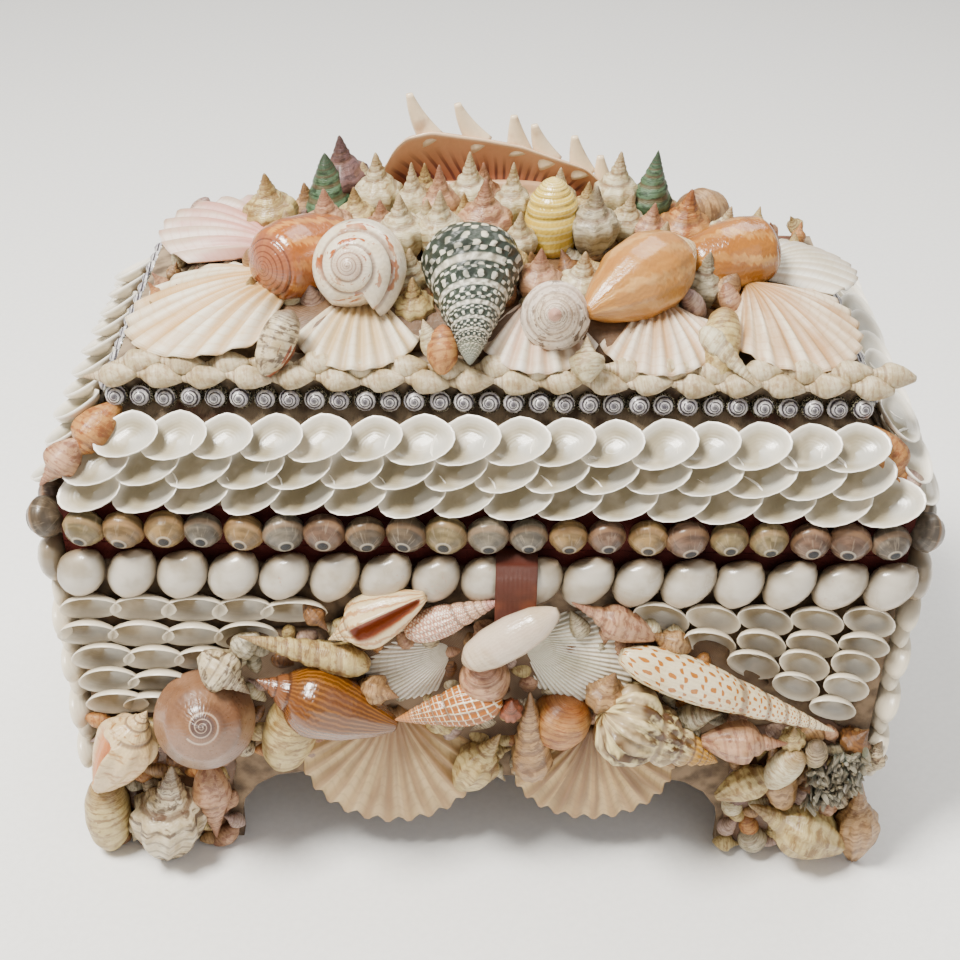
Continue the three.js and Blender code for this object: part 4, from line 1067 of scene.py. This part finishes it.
yGrid = yGrid + 0.3 * folds * np.sin(math.pi * np.clip(rise * 1.15, 0, 1))
front = np.stack([xGrid, yGrid, zGrid], -1)
behind = front + np.array([0, 1, 0]) * (2.6 - rise)[..., None]
rings = np.concatenate([front, behind[:, ::-1]], 1)
turn = np.stack([spoke, rise], -1)
turn = np.concatenate([turn, turn[:, ::-1] * [1, 0] + [0, 2]], 1)
turn = np.concatenate([turn, turn[:, :1]], 1)
pile.add(rings, turn=turn, zipped=True)
for (bx, bz), (tx, tz) in conch["hooks"]:
    base = (bx, conch["front"] + 3.5, bz - 4)
    bend = (bx * 0.25 + tx * 0.75, conch["front"] + 2.5, bz * 0.62 + tz * 0.38)
    horn(pile, base, bend, (tx, conch["front"] + 1, tz), 12, tip=1.5, sides=14, rows=14,
         tone=tint("ead2ae", 1))
snail(pile, "conch", (72, 50, 264), (-68, 50, 267), 30, rows=60, sides=48, knobs=0.14,
      tone=tint("c9a27c", 1))


def conchLook():
    look = Look("spider_conch_lip", {"Coat Weight": 0.35, "Coat Roughness": 0.15})
    spokeWire, level = look.layer("turn")
    shellTone, isShell = look.mark("tone"), look.mark("tone", 3)
    warp = look.noise(60.0, 2.0)
    wave = (spokeWire * 12.4 + warp * 0.4).wave()
    inner = look.mix(level.ease(0.5, 0.95), tint("9c5c40"), tint("dca47a"))
    stripe = wave.ease(0.1, 0.8) * (1 - level.ease(0.6, 0.85))
    inner = look.mix(stripe * 0.85, inner, tint("5a2c2a"))
    inner = look.mix(level.ease(0.93, 1.0) * 0.8, inner, tint("ecd2ae"))
    outer = look.mix(look.noise(90.0, 3.0).ease(0.5, 0.75) * 0.7, shellTone, tint("a07350"))
    back = level.ease(1.2, 1.4)
    colour = look.mix(back, inner, tint("cda582"))
    colour = look.mix(isShell, colour, outer)
    fine = look.noise(600.0, 2.0)
    colour = look.shade(colour, 0.9 + fine * 0.15)
    return look.done(colour, rough=0.25 + fine * 0.2, height=fine, depth=0.0002, strength=0.3)


pile.dress("spider_conch", conchLook())
print("spider conch made")

# Small shells: tone, colour of the pattern and how much of it
palette = {
    "white": ("e4dcc2", "a0763f", 0.55), "cream": ("d6c28e", "8a6230", 0.7),
    "pink": ("cfa488", "8a5240", 0.7), "orange": ("cc9458", "96501f", 0.8),
    "tan": ("c09a70", "785230", 0.75), "grey": ("c4bba8", "70644f", 0.75),
    "lilac": ("c6aca6", "7c5a62", 0.65), "brown": ("8f6238", "4a2b14", 0.8),
    "green": ("5f8068", "28402f", 0.9), "purple": ("7a585c", "40282c", 0.8),
    "red": ("a2593a", "652814", 0.8), "checked": ("e0d2ba", "5e4838", 0.9),
    "whelk": ("e0d3ba", "a87e54", 0.45), "stone": ("bcc6be", "66726a", 0.9),
}
smallMaterial = mixedLook("small_shell_mix")


def small(pile, tone, start, end, wide, kind="small", **more):
    base, second, amount = palette[tone]
    snail(pile, kind, start, end, wide, spin=dice.uniform(0, 360), tone=tint(base, 0),
          accent=tint(second, amount), **more)


# Little shells that fill a bed: laid out by rows with jitter, each lying or standing at random
def crumbs(pile, spots, flat=True, size=(11, 16)):
    names = ("cream", "white", "pink", "tan", "grey", "cream", "brown", "checked", "orange", "lilac")
    for middle in np.array(spots):
        swing = dice.uniform(0, 2 * math.pi)
        length = dice.uniform(*size)
        lift = dice.uniform(-0.2, 0.35) if flat else dice.uniform(1.2, 2.6)
        c, s = math.cos(swing), math.sin(swing)
        axis = unit((c, -lift, s) if flat else (c, s, lift)) * length / 2
        kind = ("small", "small", "mitre", "small", "moon")[dice.integers(5)]
        name = names[dice.integers(len(names))]
        wide = length * dice.uniform(0.5, 0.68)
        small(pile, name, middle + axis, middle - axis, wide, kind=kind, rows=13, sides=12, knobs=0.05,
              cords=0.0)


def grid(low, high, gap):
    sway = 3.0
    xs, ys = np.arange(low[0], high[0], gap), np.arange(low[1], high[1], gap)
    spots = np.stack(np.meshgrid(xs, ys), -1).reshape(-1, 2)
    return spots + dice.uniform(-sway, sway, spots.shape)


standing = [
    ((-99, 14, 291), 20, "cream"), ((-71, -10, 295), 20, "pink"), ((-51, 20, 299), 18, "white"),
    ((-35, 10, 299), 13, "white"), ((-39, -16, 296), 18, "white"), ((-23, 8, 299), 15, "pink"),
    ((-22, -16, 298), 17, "white"), ((-10, 18, 301), 16, "white"), ((-3, -8, 300), 20, "pink"),
    ((9, 12, 299), 14, "white"), ((44, -6, 297), 19, "grey"), ((56, 24, 300), 17, "white"),
    ((72, 24, 301), 16, "green"), ((86, 8, 290), 21, "orange"), ((96, -12, 285), 16, "lilac"),
    ((20, -44, 286), 16, "pink"), ((38, -42, 284), 18, "white"), ((90, -34, 281), 17, "grey"),
    ((102, -2, 287), 12, "white"), ((-74, 28, 295), 26, "green"), ((-68, 36, 300), 20, "purple"),
    ((-88, -8, 284), 16, "white"), ((-60, 8, 288), 14, "cream"), ((-48, -2, 287), 13, "pink"),
    ((-28, -2, 288), 13, "white"), ((-12, 0, 290), 12, "cream"), ((12, -14, 288), 13, "white"),
    ((42, 14, 290), 14, "cream"), ((60, 6, 288), 14, "white"), ((70, 2, 286), 13, "pink"),
    ((74, -12, 284), 15, "white"), ((56, -26, 280), 14, "cream"), ((-34, -34, 280), 15, "white"),
    ((-32, -52, 276), 15, "cream"), ((-80, -26, 280), 15, "pink"), ((8, -30, 284), 13, "cream"),
    ((50, -40, 276), 13, "white"), ((30, 24, 292), 14, "white"), ((-4, 28, 292), 14, "pink"),
    ((-30, 26, 292), 13, "cream"), ((-58, 36, 288), 15, "white"), ((92, 26, 280), 14, "white"),
    ((78, 40, 280), 16, "cream"), ((-84, 30, 280), 16, "tan"),
]
pile = Pile()
# Glue bed under the roof shells, its brown also painted shade in the gaps between them
mound(pile, (0, middleY, 0), (212, 116), 247, 264, tint("6b583e", 0))
for tip, wide, tone in standing:
    kind = "turban" if wide > 24 else "spire" if tone == "green" else "small"
    end = (tip[0] * 0.97, tip[1] + 4, min(tip[2] - 1.75 * wide, 262))
    small(pile, tone, tip, end, wide * 1.14, kind=kind, rows=34, sides=28)
small(pile, "tan", (82, 16, 276), (106, 36, 266), 22, kind="moon", rows=30, sides=24)
roofSpots = [(x, y, 263) for x, y in grid((-98, -44), (100, 42), 13)
             if abs(x / 104) ** 4 + abs((y - middleY) / 56) ** 4 < 1]
crumbs(pile, roofSpots, False, (16, 22))
sideSpots = [(hand * x, y, 253) for hand in (-1, 1) for x, y in grid((128, -40), (148, 62), 12)]
crumbs(pile, sideSpots, False, (11, 15))
pile.dress("small_roof_shells", smallMaterial)

# The row of whelks that lie end to end along the front edge of the roof, and those that lie over the edge
whelks = {"length": 320, "pitch": 18.2, "height": 245.2, "tilt": 1.3,
          "rows": ((0, -80.5, 0, 9.8), (9, -76, 3.5, 10.5))}
pile = Pile()
for i, x in enumerate(spread(whelks["length"], whelks["pitch"])):
    z = whelks["height"] + jitter(0.5)
    tilt = whelks["tilt"] if i % 2 else -whelks["tilt"]
    for shift, y, up, wide in whelks["rows"]:
        start, end = (x - 11.5 + shift, y, z + up + tilt), (x + 10.5 + shift, y - 0.5, z + up - tilt)
        small(pile, "whelk", start, end, wide, rows=20, sides=16, knobs=0.06, ribs=0.0)
overEdge = [
    ("red", "small", (-79, -70, 270), (-89, -84, 248), 14),
    ("checked", "olive", (-79, -70, 270), (-90, -85, 249), 14.4),
    ("white", "auger", (106, -86, 248), (84, -68, 264), 10),
    ("cream", "olive", (95, -54, 266), (91, -80, 248), 15),
    ("white", "mitre", (-27, -72, 268), (-22, -77, 254), 9),
    ("orange", "moon", (-19, -72, 266), (-19, -84, 250), 13),
    ("white", "small", (38, -76, 264), (38, -88, 250), 13),
]
for tone, kind, start, end, wide in overEdge:
    small(pile, tone, start, end, wide, kind=kind, rows=40 if kind == "auger" else 26)
pile.dress("whelk_row_front", smallMaterial)
print("roof shells made")

# Small shells over the front, and the glue bed that they lie in, its dark brown partly painted shade
frontSmall = [
    ("cream", "auger", (-104, -114, 138), (-49, -112, 121), 15),
    ("pink", "small", (36, -111, 157), (72, -109, 137), 14),
    ("pink", "moon", (0, -119, 130), (1, -110, 104), 22),
    ("red", "small", (12, -127, 116), (12, -112, 92), 10),
    ("pink", "small", (134, -119, 86), (96, -119, 87), 18),
    ("cream", "small", (8, -116, 86), (-10, -112, 48), 19),
    ("tan", "auger", (20, -118, 113), (23, -112, 56), 19),
    ("checked", "small", (-100, -119, 110), (-121, -112, 126), 18),
    ("grey", "spire", (103, -119, 103), (84, -112, 93), 12),
    ("tan", "small", (56, -116, 123), (51, -110, 96), 18),
    ("tan", "small", (-36, -122, 112), (-54, -112, 110), 13),
    ("orange", "olive", (38, -111, 104), (31, -110, 76), 26),
    ("cream", "olive", (-80, -110, 100), (-92, -107, 54), 24),
    ("cream", "small", (136, -118, 95), (138, -112, 76), 11),
    ("white", "olive", (140, -120, 82), (129, -114, 55), 14),
    ("checked", "bulla", (147, -120, 87), (149, -112, 68), 11),
    ("cream", "small", (138, -116, 70), (108, -112, 45), 15),
    ("white", "small", (64, -112, 132), (80, -108, 116), 12),
    ("tan", "small", (70, -110, 140), (88, -106, 128), 13),
    ("cream", "small", (-10, -112, 96), (-24, -108, 82), 13),
    ("brown", "small", (-66, -112, 140), (-76, -106, 150), 9),
    ("grey", "small", (-112, -112, 122), (-96, -108, 134), 11),
]
pile = Pile()
# Glue bed, its dark brown also painted shade in the gaps between the shells
mound(pile, (0, -100, 100), (236, 72), 0.3, 7.5, tint("6a4a3c", 0), facing="front")
pile.make("front_glue_and_shade_bed", clothLook("glue_and_shade_bed", "86705a", "4a3628", "a08a70"))
pile = Pile()
for tone, kind, start, end, wide in frontSmall:
    small(pile, tone, start, end, wide, kind=kind, rows=40, sides=28)
bed = {
    "heights": (52, 62, 76, 104, 122, 142),
    "left": (-50, -112, -116, -116, -112, -66),
    "right": (60, 80, 122, 108, 96, 76),
}
frontSpots = [(x, -105, z) for x, z in grid((-118, 54), (124, 144), 10.5)
              if np.interp(z, bed["heights"], bed["left"]) < x < np.interp(z, bed["heights"], bed["right"])]
crumbs(pile, frontSpots)
pile.dress("small_front_shells", smallMaterial)

# Shells on the feet
footShells = {
    "front_left": [
        ("cream", "olive", (-172, -110, 47), (-175, -109, 0), 21),
        ("checked", "small", (-139, -116, 62), (-148, -112, 0), 33),
        ("pink", "spire", (-124, -110, 9), (-124, -109, 56), 18),
        ("purple", "small", (-158, -110, 66), (-160, -108, 50), 12),
        ("grey", "small", (-163, -112, 8), (-156, -108, 24), 13),
        ("red", "small", (-118, -108, 70), (-126, -106, 58), 10),
        ("grey", "moon", (-132, -108, 76), (-126, -104, 64), 14),
        ("pink", "small", (-168, -108, 60), (-160, -105, 72), 12),
        ("cream", "small", (-150, -106, 78), (-142, -104, 66), 13),
        ("checked", "small", (-136, -106, 10), (-134, -104, 28), 12)],
    "front_right": [
        ("cream", "small", (124, -112, 40), (170, -112, 13), 26),
        ("tan", "small", (174, -108, 52), (178, -108, 1), 20),
        ("tan", "spire", (129, -110, 82), (140, -112, 38), 16),
        ("purple", "small", (122, -108, 60), (118, -106, 34), 12),
        ("brown", "small", (172, -108, 84), (164, -106, 70), 15),
        ("checked", "small", (180, -106, 76), (176, -104, 56), 12),
        ("grey", "moon", (126, -108, 18), (132, -105, 6), 14),
        ("checked", "small", (158, -110, 8), (148, -106, 22), 13),
        ("tan", "small", (140, -106, 60), (148, -104, 50), 12),
        ("pink", "small", (164, -108, 44), (156, -106, 32), 13)],
}
for corner, shells in footShells.items():
    hand = -1 if corner == "front_left" else 1
    pile = Pile()
    mound(pile, (hand * 144, -100, 43), (58, 80), 0.3, 5.5, tint("7c6050", 0), facing="front")
    for tone, kind, start, end, wide in shells:
        small(pile, tone, start, end, wide, kind=kind, rows=40, sides=30)
    crumbs(pile, [(hand * (144 - x), -105, z) for x, z in grid((-25, 7), (35, 82), 10)])
    pile.dress(f"foot_shells_{corner}", smallMaterial)
backFoot = [
    ("cream", (154, 91, 42), (150, 91, 2), 22), ("pink", (126, 89, 4), (128, 89, 43), 17),
    ("tan", (168, 87, 8), (166, 87, 36), 13), ("grey", (138, 87, 44), (140, 86, 24), 13),
]
for hand, mirror in (("left", -1), ("right", 1)):
    pile = Pile()
    mound(pile, (mirror * 144, 80, 24), (58, 42), -5.2, -0.3, tint("6d5446", 0), facing="front")
    for tone, start, end, wide in backFoot:
        small(pile, tone, (mirror * start[0], *start[1:]), (mirror * end[0], *end[1:]), wide)
    pile.dress(f"foot_shells_back_{hand}", smallMaterial)

# Small shells at the hips of the lid
hips = [
    ("orange", (-171, -100, 213), (-150, -80, 231), 16), ("pink", (-180, -103, 206), (-164, -94, 222), 14),
    ("orange", (172, -97, 205), (155, -80, 226), 16), ("lilac", (178, -96, 198), (166, -88, 212), 13),
]
pile = Pile()
for shell in hips:
    small(pile, *shell)
pile.make("hip_shells", smallMaterial)

# A grey-blue stone chip on the right front foot, as a tuft of crystals
chip = {"middle": (159, -115, 62), "half": (11, 13), "crystals": 110, "length": (3, 8), "wide": (3.4, 6)}
chipTone, chipDark, _ = palette["stone"]
pile = Pile()
for i in range(chip["crystals"]):
    x, z = (dice.uniform(-half, half) for half in chip["half"])
    root = np.array(chip["middle"]) + (x, 0, z + 0.5 * x)
    point = root + unit((jitter(0.8), -1, jitter(0.8))) * dice.uniform(*chip["length"])
    horn(pile, root, (root + point) / 2, point, dice.uniform(*chip["wide"]), tip=1.0, flat=1.0, rows=3,
         sides=6, tone=tint(chipTone, 0), accent=tint(chipDark, 0.9))
pile.make("stone_chip", smallMaterial, smooth=False)
print("small shells made")


# Floor, lights and world
def makeStage():
    look = Look("floor_paper", {"Roughness": 0.9, "Specular IOR Level": 0.1})
    grain = look.noise(300.0, 2.0)
    paper = look.mix(grain.ease(0.3, 0.7), tint("f7f6f4"), tint("f3f2f0"))
    look.done(paper)
    floor = bpy.data.meshes.new("floor")
    size = 6.0
    floor.from_pydata([(-size, -size, 0), (size, -size, 0), (size, size, 0), (-size, size, 0)], [],
                      [(0, 1, 2, 3)])
    floor.materials.append(look.material)
    piece = bpy.data.objects.new("floor", floor)
    bpy.context.scene.collection.objects.link(piece)
    lamps = {
        "key_light": ((-0.6, -0.4, 1.5), 0.45, 62, (1.0, 0.975, 0.905)),
        "fill_light": ((0.9, -1.1, 0.8), 1.2, 4, (0.96, 0.97, 1.0)),
        "top_light": ((0.3, 0.6, 1.4), 0.8, 14, (1.0, 0.99, 0.95)),
    }
    for name, (spot, size, power, colour) in lamps.items():
        data = bpy.data.lights.new(name, "AREA")
        data.size, data.energy, data.color = size, power, colour
        lamp = bpy.data.objects.new(name, data)
        lamp.location = spot
        lamp.rotation_mode = "QUATERNION"
        lamp.rotation_quaternion = (Vector((0, 0, 0.15)) - Vector(spot)).to_track_quat("-Z", "Y")
        bpy.context.scene.collection.objects.link(lamp)
    world = bpy.data.worlds.new("studio")
    bpy.context.scene.world = world
    world.use_nodes = True
    backdrop = world.node_tree.nodes["Background"]
    backdrop.inputs["Color"].default_value = (1.0, 0.99, 0.975, 1)
    backdrop.inputs["Strength"].default_value = 0.55


makeStage()
print("stage ready")
